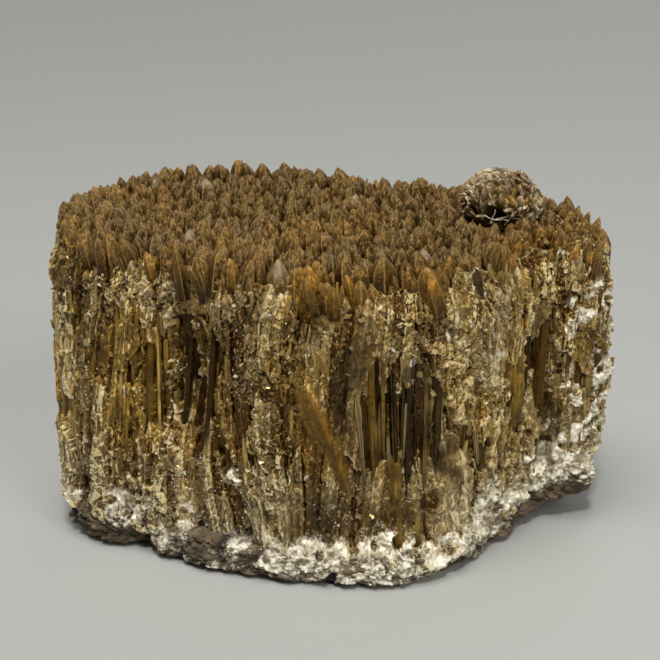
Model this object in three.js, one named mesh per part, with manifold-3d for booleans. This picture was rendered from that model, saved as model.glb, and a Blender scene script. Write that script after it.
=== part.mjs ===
// Honey calcite cluster: a loose block of intergrown honey-coloured calcite columns, broken out of a vein.
// The columns stand side by side on a thin crust of host rock, and each one ends in a dogtooth point,
// so the top is a carpet of points. The broken sides show the columns as flutes, ledges and hollows,
// and a knob of smaller crystals grew over the points at the back right.
//
// Millimetres, +Z up, +X to the right and +Y away from the front. Every shape is drawn in the block's
// own drawing frame, whose y starts at the front corner, and the group then moves it to its origin.
import * as THREE from "three";
import Module from "manifold-3d";

const wasm = await Module();
wasm.setup();

// ---------- driving dimensions ----------
const ORIGIN = [1.2, 64.7]; // the middle of the block's box in the drawing frame
const TIP_LEVEL = 96; // height of the points over most of the block
const TIP_LENGTH = 9; // from the groove between two points up to the tips
const TIP_SPREAD = 2.4; // how much the points differ in height
const GROOVE_SPREAD = 1.5; // and the grooves between them
const TIP_LEAN = 2.4; // a tip strays up to half of this from the middle of its column
const PITCH = 5.6; // spacing of the columns in the carpet
const PITCH_JITTER = 3.0; // a column strays up to half of this from its lattice place
const BED_DROP = 4; // the block ends this far below the grooves, so only the carpet shows on top
const CARPET_INSET = 1.4; // how far inside the rim the outermost points stand
const CARPET_DEPTH = 17; // how far the carpet's columns reach down into the block
const CARPET_TAPER = 0.95; // its width down there, as a share of its width at the grooves
const WAIST = 2.4; // how far the sides swell half way up
const LIFT = 7.5; // how high the underside rises below the right-hand lobe
const LIFT_FROM = 54; // where along x that rise starts
const LIFT_RUN = 26; // and over how much of x it spreads
const SEAM_LEVEL = 10; // height of the seam between the rock crust and the crystals
const SEAM_WAVE = 2.2; // how far that seam wanders up and down
const SEAM_ENDS = 5; // how much higher it runs at the left and right ends
const SEAM_GAP = 0.3; // clearance between the two solids
const COLUMNS_ROUND = 58; // flutes round the sides, two facets each
const FLUTE_OUT = 1.9; // the proudest flutes
const FLUTE_IN = 2.6; // the deepest grooves
const BREAK_STEP = 3.2; // the deepest step where a column is snapped off
const FOOT_LUMPS = 1.6; // how far the lumps of the foot's edge hang clear of the ground
const FOOT_FADE = 0.12; // the share of the height over which the lumpy foot turns into flutes
const RIM_RAG = 3.5; // how far the columns of the sides differ in height at the rim
const HEART = [30, 72]; // a spot from which every part of the outline is in sight
const UNDER_RINGS = [0.86, 0.5]; // rings of the underside, as shares of the way out from there

// Where the rim and the foot pass, going round from the left corner by way of the front: [rim], [foot].
const CORNERS = [
  [[-84, 55], [-82, 54]],
  [[-81, 39], [-80, 38]],
  [[-70, 29], [-70, 25]],
  [[-52, 20], [-52, 19]],
  [[-30, 9], [-29, 9]],
  [[-8, -1], [-6, -1]],
  [[16, 0], [18, 0]],
  [[36, 7], [35, 8]],
  [[52, 25], [52, 27]],
  [[64, 42], [63, 43]],
  [[75, 41], [72, 47]],
  [[85, 44], [80, 49]],
  [[89, 64], [82, 68]],
  [[82, 90], [75, 92]],
  [[56, 106], [54, 103]],
  [[22, 116], [22, 112]],
  [[-16, 131], [-16, 125]],
  [[-50, 129], [-48, 123]],
  [[-75, 115], [-69, 108]],
  [[-85, 84], [-80, 82]],
];

// Where the carpet of points rises or (negative) falls away from its level.
const TIP_SWELLS = [
  { name: "left corner", at: [-86, 55], wide: 30, deep: 45, high: 4 },
  { name: "back left", at: [-38, 128], wide: 42, deep: 38, high: 5 },
  { name: "back right", at: [32, 112], wide: 30, deep: 26, high: 2 },
  { name: "right end", at: [94, 64], wide: 15, deep: 60, high: -5 },
];

// Hollows and swells of the broken sides: where, how wide and tall, and how deep (negative stands proud).
const RELIEF = [
  { name: "left hollow", at: [-41, 12, 60], wide: 9, tall: 19, deep: 11 },
  { name: "left hollow's foot", at: [-46, 14, 48], wide: 8, tall: 8, deep: 5 },
  { name: "front hollow", at: [12, -3, 50], wide: 13, tall: 25, deep: 8 },
  { name: "front hollow's right", at: [31, 2, 44], wide: 11, tall: 22, deep: 5 },
  { name: "pit below the rim", at: [-2, -2, 80], wide: 4.5, tall: 5, deep: 4 },
  { name: "right hollow", at: [64, 41, 50], wide: 8, tall: 18, deep: 7 },
  { name: "lower front slope", at: [4, -3, 20], wide: 16, tall: 9, deep: 2.5 },
  { name: "honey rib", at: [-3, -4, 44], wide: 6, tall: 18, deep: -2.6 },
  { name: "shoulder left of it", at: [-22, 5, 62], wide: 11, tall: 20, deep: -2.2 },
  { name: "right pillar", at: [54, 27, 52], wide: 7, tall: 26, deep: -2.6 },
  { name: "white foot", at: [28, 2, 8], wide: 26, tall: 9, deep: -2 },
  { name: "left foot", at: [-74, 31, 10], wide: 12, tall: 9, deep: -1.6 },
  { name: "back hollow", at: [4, 122, 52], wide: 13, tall: 22, deep: 6 },
  { name: "back left hollow", at: [-60, 124, 40], wide: 10, tall: 14, deep: 5 },
  { name: "back ledge", at: [-28, 131, 30], wide: 14, tall: 9, deep: -3 },
  { name: "right side hollow", at: [88, 74, 44], wide: 9, tall: 20, deep: 4 },
  { name: "left side hollow", at: [-87, 84, 38], wide: 10, tall: 15, deep: 4 },
];

// Single crystals that stand clear of the wall: foot, tip, radius and the share of the length that is point.
const STRAY_CRYSTALS = [
  { name: "slim crystal", foot: [11, 2, 26], tip: [7, -3.5, 61], radius: 1.7, point: 0.16 },
  { name: "leaning blade", foot: [4, 3, 14], tip: [-9, -1, 68], radius: 4.2, point: 0.3 },
  { name: "low blade", foot: [8, 1, 13], tip: [-2, -3, 30], radius: 1.8, point: 0.3 },
  { name: "right splinter", foot: [44, 18, 26], tip: [42, 9, 46], radius: 1.6, point: 0.4 },
  { name: "left splinter", foot: [-57, 24, 28], tip: [-60, 20, 58], radius: 2.2, point: 0.3 },
];

const KNOB = { at: [55, 72.5, 96.5], radii: [13.2, 12, 11], spike: 0.12 }; // the knob of small crystals
const KNOB_BOWL = 6; // how far the points drop away round the knob

const CRYSTALS = { color: 0x8a5f2c, roughness: 0.42, metalness: 0 };
const CRUST = { color: 0x9b9282, roughness: 0.9, metalness: 0 };

// ---------- small helpers ----------
const mix = (a, b, t) => a + (b - a) * t;
const clamp01 = (t) => Math.min(1, Math.max(0, t));
const smooth = (t) => clamp01(t) ** 2 * (3 - 2 * clamp01(t));

// A repeatable number from 0 to 1 for three whole numbers.
function hash(i, j, k) {
  const s = Math.sin(i * 12.9898 + j * 78.233 + k * 37.719) * 43758.5453;
  return s - Math.floor(s);
}

// A closed curve through the corners' rim (0) or foot (1) points.
function outline(which) {
  const points = CORNERS.map((corner) => new THREE.Vector3(...corner[which], 0));
  return new THREE.CatmullRomCurve3(points, true, "catmullrom", 0.5);
}
const rimCurve = outline(0);
const footCurve = outline(1);

// Height of the points over the block.
function tipHeight(x, y) {
  return TIP_SWELLS.reduce((sum, { at, wide, deep, high }) => {
    return sum + high * Math.exp(-(((x - at[0]) / wide) ** 2) - ((y - at[1]) / deep) ** 2);
  }, TIP_LEVEL);
}

// Height of the block's own top, which the carpet of points covers.
const bedHeight = (x, y) => tipHeight(x, y) - TIP_LENGTH - BED_DROP;

// Height of the underside: flat on the ground, rising below the right-hand lobe.
const footHeight = (x) => LIFT * smooth((x - LIFT_FROM) / LIFT_RUN);

// Height of the seam between rock crust and crystals.
function seamHeight(x, y) {
  const wave = Math.sin(x / 11 + 1.3) * Math.cos(y / 15 + 0.4) + 0.6 * Math.sin(x / 5.2 + y / 7);
  return SEAM_LEVEL + footHeight(x) + SEAM_ENDS * (x / 85) ** 2 + SEAM_WAVE * wave;
}

// How far the hollows and swells move a point of the wall in (positive) or out (negative).
function reliefAt(x, y, z) {
  return RELIEF.reduce((sum, { at, wide, tall, deep }) => {
    const across = ((x - at[0]) ** 2 + (y - at[1]) ** 2) / wide ** 2;
    return sum + deep * Math.exp(-across - ((z - at[2]) / tall) ** 2);
  }, 0);
}

// A solid from corner points and triangles whose faces point outwards.
function solidOf(points, triangles) {
  return new wasm.Manifold(
    new wasm.Mesh({
      numProp: 3,
      vertProperties: new Float32Array(points.flat()),
      triVerts: new Uint32Array(triangles.flat()),
    }),
  );
}

// ---------- the block: flutes, ledges and hollows lofted from foot to rim ----------
// Rows of points run round the block, each row joined to the next, with a flat fan below and above.
function blockSolid() {
  const steps = COLUMNS_ROUND * 2;
  const rows = [0, 0.06, 0.15, 0.27, 0.39, 0.51, 0.63, 0.75, 0.88, 1];
  const points = [];
  const wallPoint = (step, h) => {
    const t = rimCurve.getUtoTmapping(step / steps); // even steps along the rim
    const column = Math.floor(step / 2);
    const foot = footCurve.getPoint(t);
    const rim = rimCurve.getPoint(t);
    const along = footCurve.getTangent(t).lerp(rimCurve.getTangent(t), h).normalize();
    const out = new THREE.Vector2(along.y, -along.x);
    const x = mix(foot.x, rim.x, h);
    const y = mix(foot.y, rim.y, h);
    const rimHeight = bedHeight(x, y) + RIM_RAG * hash(column, step % 2, 11);
    const z = mix(footHeight(x) + FOOT_LUMPS * hash(column, 5, 3), rimHeight, h);
    const ridge = step % 2 === 0;
    const flute = ridge ? FLUTE_OUT * hash(column, 1, 7) : -FLUTE_IN * hash(column, 2, 7);
    const snapped = h > 0.15 + 0.75 * hash(column, 3, 7) ? BREAK_STEP * hash(column, 4, 7) : 0;
    const fade = smooth(h / FOOT_FADE);
    const off = WAIST * Math.sin(Math.PI * h) + (flute - snapped) * fade - reliefAt(x, y, z);
    return [x + out.x * off, y + out.y * off, z];
  };
  for (const h of rows) {
    for (let step = 0; step < steps; step++) points.push(wallPoint(step, h));
  }
  const rings = [0]; // where each ring of the underside starts, from the foot inwards
  for (const share of UNDER_RINGS) {
    rings.push(points.length);
    for (let step = 0; step < steps; step++) {
      const [x, y] = [0, 1].map((axis) => mix(HEART[axis], points[step][axis], share));
      points.push([x, y, footHeight(x)]);
    }
  }
  const below = points.push([...HEART, 0]) - 1;
  const above = points.push([...HEART, bedHeight(...HEART)]) - 1;

  const triangles = [];
  for (let step = 0; step < steps; step++) {
    const next = (step + 1) % steps;
    const band = (low, high) => {
      triangles.push([low + step, low + next, high + next], [low + step, high + next, high + step]);
    };
    for (let row = 0; row + 1 < rows.length; row++) band(row * steps, (row + 1) * steps);
    for (let ring = 0; ring + 1 < rings.length; ring++) band(rings[ring + 1], rings[ring]);
    const [top, bottom] = [(rows.length - 1) * steps, rings.at(-1)];
    triangles.push([top + step, top + next, above], [bottom + next, bottom + step, below]);
  }
  return solidOf(points, triangles);
}

// ---------- the carpet: a lattice of columns, each with a six-sided point ----------
// A column stands at a jittered lattice place. Its groove corners are the middles of the triangles
// that it forms with its six neighbours, so neighbouring points share their grooves.
function columnPlace(i, j) {
  return [
    PITCH * (i + j / 2) + PITCH_JITTER * (hash(i, j, 1) - 0.5),
    PITCH * j * Math.sqrt(0.75) + PITCH_JITTER * (hash(i, j, 2) - 0.5),
  ];
}

function insideRim(x, y, rim) {
  let inside = false;
  rim.forEach((p, k) => {
    const q = rim[(k + 1) % rim.length];
    if (p.y > y !== q.y > y && x < mix(p.x, q.x, (y - p.y) / (q.y - p.y))) inside = !inside;
  });
  return inside;
}

// The points stand lower where the knob covers them.
function knobDrop(x, y) {
  const away = Math.hypot((x - KNOB.at[0]) / KNOB.radii[0], (y - KNOB.at[1]) / KNOB.radii[1]);
  return KNOB_BOWL * (1 - smooth((away - 0.75) / 0.45));
}

function carpetSolid() {
  const rim = rimCurve.getSpacedPoints(200);
  const points = [];
  const corners = new Map(); // groove corners by the lattice triangle that they lie in
  const triangles = [];

  // Where a point of the carpet stands on its floor, which is hidden in the block.
  const taperedIn = (x, y) => [
    mix(HEART[0], x, CARPET_TAPER),
    mix(HEART[1], y, CARPET_TAPER),
    TIP_LEVEL - CARPET_DEPTH,
  ];

  // Upper and lower point of the groove corner in the triangle right of (up) or left of (i, j).
  function groove(i, j, up) {
    const key = `${i},${j},${up}`;
    if (!corners.has(key)) {
      const three = up ? [[i, j], [i + 1, j], [i, j + 1]] : [[i, j], [i + 1, j], [i + 1, j - 1]];
      const places = three.map(([a, b]) => columnPlace(a, b));
      const [x, y] = [0, 1].map((axis) => places.reduce((s, p) => s + p[axis], 0) / 3);
      const z = tipHeight(x, y) - TIP_LENGTH - knobDrop(x, y) + GROOVE_SPREAD * (hash(i, j, 9) - 0.5);
      const low = taperedIn(x, y);
      corners.set(key, [points.push([x, y, z]) - 1, points.push(low) - 1]);
    }
    return corners.get(key);
  }

  const reach = 40;
  const inSet = (i, j) => {
    const [x, y] = columnPlace(i, j);
    const out = 1 + CARPET_INSET / Math.hypot(x - HEART[0], y - HEART[1]);
    return insideRim(mix(HEART[0], x, out), mix(HEART[1], y, out), rim);
  };
  for (let i = -2 * reach; i <= reach; i++) {
    for (let j = -4; j <= reach; j++) {
      if (!inSet(i, j)) continue;
      const [x, y] = columnPlace(i, j);
      const lean = [3, 4].map((k) => TIP_LEAN * (hash(i, j, k) - 0.5));
      const height = tipHeight(x, y) - knobDrop(x, y) + TIP_SPREAD * (hash(i, j, 5) - 0.6);
      const tip = points.push([x + lean[0], y + lean[1], height]) - 1;
      const floor = points.push(taperedIn(x, y)) - 1;
      const ring = [
        groove(i, j, true), groove(i - 1, j + 1, false), groove(i - 1, j, true),
        groove(i - 1, j, false), groove(i, j - 1, true), groove(i, j, false),
      ];
      const across = [[i, j + 1], [i - 1, j + 1], [i - 1, j], [i, j - 1], [i + 1, j - 1], [i + 1, j]];
      ring.forEach(([a, lowA], k) => {
        const [b, lowB] = ring[(k + 1) % 6];
        triangles.push([tip, a, b], [floor, lowB, lowA]);
        const open = !inSet(...across[k]);
        if (open) triangles.push([a, lowA, lowB], [a, lowB, b]);
      });
    }
  }
  return solidOf(points, triangles);
}

// ---------- single crystals and the knob ----------
// A six-sided column from foot to tip whose last stretch tapers to a point.
function strayCrystal({ foot, tip, radius, point }) {
  const sides = 6;
  const a = new THREE.Vector3(...foot);
  const b = new THREE.Vector3(...tip);
  const up = b.clone().sub(a).normalize();
  const right = new THREE.Vector3(0, 1, 0).cross(up).normalize();
  const front = up.clone().cross(right);
  const shoulder = a.clone().lerp(b, 1 - point);
  const ring = (centre) =>
    Array.from({ length: sides }, (_, k) => {
      const angle = (2 * Math.PI * k) / sides;
      return centre
        .clone()
        .addScaledVector(right, radius * Math.cos(angle))
        .addScaledVector(front, radius * Math.sin(angle))
        .toArray();
    });
  const points = [...ring(a), ...ring(shoulder), foot, tip];
  const triangles = [];
  for (let k = 0; k < sides; k++) {
    const next = (k + 1) % sides;
    triangles.push([k, next, sides + next], [k, sides + next, sides + k]);
    triangles.push([next, k, 2 * sides], [sides + k, sides + next, 2 * sides + 1]);
  }
  return solidOf(points, triangles);
}

// A ball of blunt crystals: each face of a round solid carries a low three-sided point.
function knobSolid() {
  const ball = new THREE.IcosahedronGeometry(1, 2).getAttribute("position");
  const keys = new Map();
  const points = [];
  const triangles = [];
  const placed = (v) => v.toArray().map((c, axis) => KNOB.at[axis] + c * KNOB.radii[axis]);
  const corner = (v) => {
    const key = v.toArray().map((c) => Math.round(c * 1e4)).join();
    if (!keys.has(key)) keys.set(key, points.push(placed(v)) - 1);
    return keys.get(key);
  };
  for (let f = 0; f < ball.count; f += 3) {
    const [a, b, c] = [0, 1, 2].map((k) => new THREE.Vector3().fromBufferAttribute(ball, f + k));
    const middle = a.clone().add(b).add(c).divideScalar(3);
    const height = 1 + KNOB.spike * (0.3 + hash(f, 1, 1));
    const peak = points.push(placed(middle.setLength(height))) - 1;
    const [ia, ib, ic] = [a, b, c].map(corner);
    triangles.push([ia, ib, peak], [ib, ic, peak], [ic, ia, peak]);
  }
  return solidOf(points, triangles);
}

// ---------- the seam ----------
// Everything between two wavy sheets that both reach past the block.
function layerSolid(lowAt, highAt) {
  const [x0, x1, y0, y1] = [-104, 108, -18, 150];
  const [cellsX, cellsY] = [13, 10];
  const points = [];
  const triangles = [];
  const at = (i, j, top) => 2 * (i * (cellsY + 1) + j) + top;
  for (let i = 0; i <= cellsX; i++) {
    for (let j = 0; j <= cellsY; j++) {
      const x = mix(x0, x1, i / cellsX);
      const y = mix(y0, y1, j / cellsY);
      points.push([x, y, lowAt(x, y)], [x, y, highAt(x, y)]);
    }
  }
  const quad = (a, b, c, d) => triangles.push([a, b, c], [a, c, d]);
  for (let i = 0; i < cellsX; i++) {
    for (let j = 0; j < cellsY; j++) {
      quad(at(i, j, 1), at(i + 1, j, 1), at(i + 1, j + 1, 1), at(i, j + 1, 1));
      quad(at(i, j, 0), at(i, j + 1, 0), at(i + 1, j + 1, 0), at(i + 1, j, 0));
    }
    quad(at(i, 0, 0), at(i + 1, 0, 0), at(i + 1, 0, 1), at(i, 0, 1));
    quad(at(i + 1, cellsY, 0), at(i, cellsY, 0), at(i, cellsY, 1), at(i + 1, cellsY, 1));
  }
  for (let j = 0; j < cellsY; j++) {
    quad(at(0, j + 1, 0), at(0, j, 0), at(0, j, 1), at(0, j + 1, 1));
    quad(at(cellsX, j, 0), at(cellsX, j + 1, 0), at(cellsX, j + 1, 1), at(cellsX, j, 1));
  }
  return solidOf(points, triangles);
}

// ---------- assembly ----------
function meshOf(name, solid, finish) {
  const { numProp, numVert, vertProperties, triVerts } = solid.getMesh();
  const positions = new Float32Array(numVert * 3);
  for (let i = 0; i < numVert; i++) {
    positions.set(vertProperties.subarray(i * numProp, i * numProp + 3), i * 3);
  }
  const geometry = new THREE.BufferGeometry();
  geometry.setAttribute("position", new THREE.BufferAttribute(positions, 3));
  geometry.setIndex(new THREE.BufferAttribute(triVerts, 1));
  const mesh = new THREE.Mesh(geometry, new THREE.MeshStandardMaterial(finish));
  mesh.name = name;
  return mesh;
}

const [UNDERGROUND, SKY] = [-60, 300]; // past the block's own height
const SLIVER = 0.05; // edges shorter than this are closed up after the joins
const block = blockSolid();
const crust = block.intersect(
  layerSolid(() => UNDERGROUND, (x, y) => seamHeight(x, y) - SEAM_GAP / 2),
);
const columns = block.intersect(
  layerSolid((x, y) => seamHeight(x, y) + SEAM_GAP / 2, () => SKY),
);
const crystals = [carpetSolid(), knobSolid(), ...STRAY_CRYSTALS.map(strayCrystal)].reduce(
  (grown, piece) => grown.add(piece),
  columns,
);

const cluster = new THREE.Group();
cluster.name = "honey_calcite_cluster";
cluster.add(meshOf("honey_crystals", crystals.simplify(SLIVER), CRYSTALS));
cluster.add(meshOf("matrix_crust", crust.simplify(SLIVER), CRUST));
cluster.position.set(-ORIGIN[0], -ORIGIN[1], 0);

export default cluster;
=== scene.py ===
# %% [markdown]
# # A honey calcite cluster
# The object is a broken block of calcite, about the size of a thick book. Honey-coloured columns stand side
# by side on a crust of rock, and each ends in a pointed crystal, so the top is a carpet of points. The
# sides are where the block was broken out of its vein: there the columns show as fibres, ledges and
# hollows, with sugary grains and white powdery crust stuck to them. This lesson first loads the plain solid
# model as a frame. It then works out one smooth wall, which every later piece stands on: the broken sides,
# the rock foot, the carpet, the loose grains and the knob.

# %% Load the frame
import math

import bpy
import numpy as np
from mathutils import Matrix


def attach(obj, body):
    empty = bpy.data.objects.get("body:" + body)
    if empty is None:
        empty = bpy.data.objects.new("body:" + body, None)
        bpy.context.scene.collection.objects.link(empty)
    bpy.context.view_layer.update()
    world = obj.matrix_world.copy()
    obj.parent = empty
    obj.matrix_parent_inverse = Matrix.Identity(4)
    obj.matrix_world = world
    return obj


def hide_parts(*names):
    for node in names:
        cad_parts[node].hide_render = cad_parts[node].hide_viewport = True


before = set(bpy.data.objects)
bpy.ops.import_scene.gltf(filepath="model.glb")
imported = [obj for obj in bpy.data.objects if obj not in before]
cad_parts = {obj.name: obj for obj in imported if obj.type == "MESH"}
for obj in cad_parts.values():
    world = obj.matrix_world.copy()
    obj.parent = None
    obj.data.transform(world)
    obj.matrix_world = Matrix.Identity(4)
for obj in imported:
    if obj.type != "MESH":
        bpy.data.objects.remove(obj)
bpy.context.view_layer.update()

# %% [markdown]
# The plain model was drawn in millimetres in a drawing frame of its own, whose y starts at the block's
# front corner. We repeat the same outline and the same few sizes here, because all the detail has to sit
# exactly on those solids. At the very end each point is moved to the block's origin and turned into metres.

# %% The block's sizes, in millimetres
ORIGIN = np.array([1.2, 64.7, 0.0])  # the middle of the block's box in the drawing frame
TIP_LEVEL, TIP_SPREAD, TIP_LEAN = 96.0, 2.4, 2.4  # the points of the carpet
PITCH, PITCH_JITTER, CARPET_INSET = 5.6, 3.0, 1.4  # the lattice that they stand on
WAIST = 2.4  # how far the sides swell half way up
LIFT, LIFT_FROM, LIFT_RUN = 7.5, 54.0, 26.0  # the underside rises below the right-hand lobe
SEAM_LEVEL, SEAM_WAVE, SEAM_ENDS = 10.0, 2.2, 5.0  # the seam between rock and crystals
HEART = np.array([30.0, 72.0])  # a spot from which every part of the outline is in sight
RIM = np.array([
    (-84, 55), (-81, 39), (-70, 29), (-52, 20), (-30, 9), (-8, -1), (16, 0),
    (36, 7), (52, 25), (64, 42), (75, 41), (85, 44), (89, 64), (82, 90),
    (56, 106), (22, 116), (-16, 131), (-50, 129), (-75, 115), (-85, 84),
], float)
FOOT = np.array([
    (-82, 54), (-80, 38), (-70, 25), (-52, 19), (-29, 9), (-6, -1), (18, 0),
    (35, 8), (52, 27), (63, 43), (72, 47), (80, 49), (82, 68), (75, 92),
    (54, 103), (22, 112), (-16, 125), (-48, 123), (-69, 108), (-80, 82),
], float)
KNOB_AT, KNOB_RADII = np.array([55.0, 72.5, 98.3]), np.array([13.2, 12.0, 11.0])
print("outline corners:", len(RIM), len(FOOT))

# %% [markdown]
# A specimen like this never repeats itself, so nearly every step needs random numbers that stay the same on
# every run. We make them from whole numbers: a lattice cell goes in, and a number from 0 to 1 comes out.
# `smooth_noise` blends those numbers into soft hills, and `shatter` cuts space into irregular cells, which
# is what broken crystal looks like: every cell becomes one flat, tilted facet.

# %% Repeatable randomness
def scramble(cells, seed):
    """A number from 0 to 1 for each row of whole numbers: each one is folded in by a multiplication that
    wraps round at 32 bits, and the high bits are mixed back into the low ones."""
    mixed = np.full(cells.shape[:-1], (seed * 7919 + 12345) % 2**32, np.uint32)
    for axis in range(cells.shape[-1]):
        mixed = (mixed ^ cells[..., axis].astype(np.int64).astype(np.uint32)) * np.uint32(2246822519)
        mixed = (mixed ^ (mixed >> np.uint32(15))) * np.uint32(3266489917)
        mixed ^= mixed >> np.uint32(13)
    return mixed / 2.0**32


def lattice_hash(i, j, k):
    """The plain model's own number for three whole numbers: the fraction of a large multiple of a sine."""
    s = np.sin(i * 12.9898 + j * 78.233 + k * 37.719) * 43758.5453
    return s - np.floor(s)


def smooth_noise(points, size, seed):
    """Soft hills from -1 to 1, about `size` mm across: the eight corners of a point's lattice cell have
    random heights, and they are blended by the smooth weight w * w * (3 - 2 w) along each axis."""
    place = points / size
    cell = np.floor(place).astype(np.int64)
    w = place - cell
    w = w * w * (3 - 2 * w)
    total = np.zeros(points.shape[:-1])
    for corner in np.ndindex(2, 2, 2):
        weight = np.prod(np.where(corner, w, 1 - w), axis=-1)
        total += weight * scramble(cell + np.array(corner), seed)
    return total * 2 - 1


def layered_noise(points, size, seed, layers=3):
    """Hills with smaller hills on them: each layer is half as large and half as high as the one before."""
    return sum(smooth_noise(points, size / 2**n, seed + n) / 2**n for n in range(layers))


def shatter(points, size, seed):
    """Cuts space into irregular cells about `size` mm across. Each cube of a lattice holds one centre at a
    random place, and a point belongs to the nearest centre. Returns the cell's whole numbers and the step
    from the centre to the point, in cells."""
    place = points / size
    cell = np.floor(place).astype(np.int64)
    best = np.full(points.shape[:-1], 9.0)
    owner, step = np.zeros_like(cell), np.zeros_like(place)
    for corner in np.ndindex(3, 3, 3):
        other = cell + np.array(corner) - 1
        centre = other + np.stack([scramble(other, seed + axis) for axis in range(3)], axis=-1)
        away = place - centre
        near = np.sum(away**2, axis=-1)
        closer = near < best
        best = np.where(closer, near, best)
        owner[closer], step[closer] = other[closer], away[closer]
    return owner, step


def facets(points, size, seed):
    """Height from about -1 to 1 of a surface broken into flat facets: each cell of `shatter` has its own
    height and its own slope. Also returns the cell's random number from 0 to 1."""
    owner, step = shatter(points, size, seed)
    slope = np.stack([scramble(owner, seed + 11 + axis) for axis in range(3)], axis=-1) * 2 - 1
    height = scramble(owner, seed + 21) * 2 - 1
    return 0.6 * height + np.sum(slope * step, axis=-1), scramble(owner, seed + 31)


def fade(value, start, end):
    """0 up to start, 1 from end on, and a smooth S between them."""
    t = np.clip((value - start) / (end - start), 0, 1)
    return t * t * (3 - 2 * t)


print("noise at one spot:", smooth_noise(np.array([[1.5, 2.5, 3.5]]), 4.0, 1))

# %% [markdown]
# Now the shape that everything stands on. The rim and the foot are closed curves through their corners. The
# wall between them is lofted: at each height the two curves are blended, pushed out a little at the waist,
# and moved in or out by the big hollows and swells, each of which is a soft bell shape with a place and a
# size.

# %% Hollows, swells and a curve through corners
HOLLOWS = {  # place, width, height and depth; a negative depth stands proud
    "left hollow": ((-41, 12, 60), 9, 19, 11),
    "left hollow's foot": ((-46, 14, 48), 8, 8, 5),
    "front hollow": ((12, -3, 50), 13, 25, 8),
    "front hollow's right": ((31, 2, 44), 11, 22, 5),
    "pit below the rim": ((-2, -2, 80), 4.5, 5, 4),
    "right hollow": ((64, 41, 50), 8, 18, 7),
    "lower front slope": ((4, -3, 20), 16, 9, 2.5),
    "honey rib": ((-3, -4, 44), 6, 18, -2.6),
    "shoulder left of it": ((-22, 5, 62), 11, 20, -2.2),
    "right pillar": ((54, 27, 52), 7, 26, -2.6),
    "white foot": ((20, 0, 4), 25, 9, -5),
    "left foot": ((-74, 31, 10), 12, 9, -1.6),
    "back hollow": ((4, 122, 52), 13, 22, 6),
    "back left hollow": ((-60, 124, 40), 10, 14, 5),
    "back ledge": ((-28, 131, 30), 14, 9, -3),
    "right side hollow": ((88, 74, 44), 9, 20, 4),
    "right shoulder": ((90, 60, 74), 15, 15, 3),
    "left side hollow": ((-87, 84, 38), 10, 15, 4),
}
SWELLS = (((-86, 55), 30, 45, 4), ((-38, 128), 42, 38, 5), ((32, 112), 30, 26, 2), ((94, 64), 15, 60, -5))


def loop_curve(corners, share):
    """A closed curve through the corners. Between two corners it is the cubic whose slope at each corner is
    half the step from the corner before it to the one after it. Returns the points and the slopes."""
    place = (np.asarray(share) % 1.0) * len(corners)
    k = np.floor(place).astype(int)
    w = (place - k)[..., None]
    before, here, there, after = (corners[(k + step) % len(corners)] for step in (-1, 0, 1, 2))
    out, into = (there - before) / 2, (after - here) / 2
    bend, curl = 3 * (there - here) - 2 * out - into, 2 * (here - there) + out + into
    return here + w * (out + w * (bend + w * curl)), out + w * (2 * bend + 3 * w * curl)


print("hollows and swells:", len(HOLLOWS), "+", len(SWELLS))

# %% [markdown]
# Places along a curve's own parameter bunch up where its corners are close together. We want them by the
# millimetre, so the curve is walked once in small steps and the length of the way is added up.

# %% The wall between foot and rim
ROUND_STEPS = 4000
round_share = np.arange(ROUND_STEPS + 1) / ROUND_STEPS
round_length = np.zeros(ROUND_STEPS + 1)
round_points = loop_curve(RIM, round_share)[0]
round_length[1:] = np.cumsum(np.linalg.norm(np.diff(round_points, axis=0), axis=1))
GIRTH = float(round_length[-1])  # the way round the rim, in mm


def curve_share(around):
    """The rim curve's own parameter at a share of the way round it, counted in mm."""
    return np.interp(around * GIRTH, round_length, round_share)


def tip_height(places):
    """Height of the carpet's points over the places: level, with four soft swells."""
    x, y = places[..., 0], places[..., 1]
    bells = [high * np.exp(-(((x - at[0]) / wide) ** 2) - ((y - at[1]) / deep) ** 2)
             for at, wide, deep, high in SWELLS]
    return TIP_LEVEL + sum(bells)


def foot_height(x):
    """Height of the underside: flat on the ground, rising below the right-hand lobe."""
    return LIFT * fade(x, LIFT_FROM, LIFT_FROM + LIFT_RUN)


def seam_height(places):
    """Height of the seam between the rock crust and the crystals: the underside, higher at both ends, with
    waves of two lengths."""
    x, y = places[..., 0], places[..., 1]
    wave = np.sin(x / 11 + 1.3) * np.cos(y / 15 + 0.4) + 0.6 * np.sin(x / 5.2 + y / 7)
    return SEAM_LEVEL + foot_height(x) + SEAM_ENDS * (x / 85) ** 2 + SEAM_WAVE * wave


def hollow_depth(points):
    """How far the hollows and swells move a point of the wall inwards."""
    total = np.zeros(points.shape[:-1])
    for (x, y, z), wide, tall, deep in HOLLOWS.values():
        across = ((points[..., 0] - x) ** 2 + (points[..., 1] - y) ** 2) / wide**2
        total += deep * np.exp(-across - ((points[..., 2] - z) / tall) ** 2)
    return total


def smooth_wall(around, share, top_gap):
    """The wall without its detail. `around` runs from 0 to 1 round the rim, and `share` from the foot, 0, to
    top_gap mm below the points, 1. Returns the points and the level direction that points outwards."""
    t = curve_share(around % 1.0)
    (foot, foot_slope), (rim, rim_slope) = loop_curve(FOOT, t), loop_curve(RIM, t)
    h = share[..., None]
    flat = foot * (1 - h) + rim * h
    slope = foot_slope * (1 - h) + rim_slope * h
    slope /= np.linalg.norm(slope, axis=-1, keepdims=True)
    out = np.stack([slope[..., 1], -slope[..., 0], np.zeros_like(share)], axis=-1)
    low, high = foot_height(flat[..., 0]), tip_height(flat) - top_gap
    points = np.concatenate([flat, (low * (1 - share) + high * share)[..., None]], axis=-1)
    off = WAIST * np.sin(np.pi * np.clip(share, 0, 1)) - hollow_depth(points)
    return points + out * off[..., None], out


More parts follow.
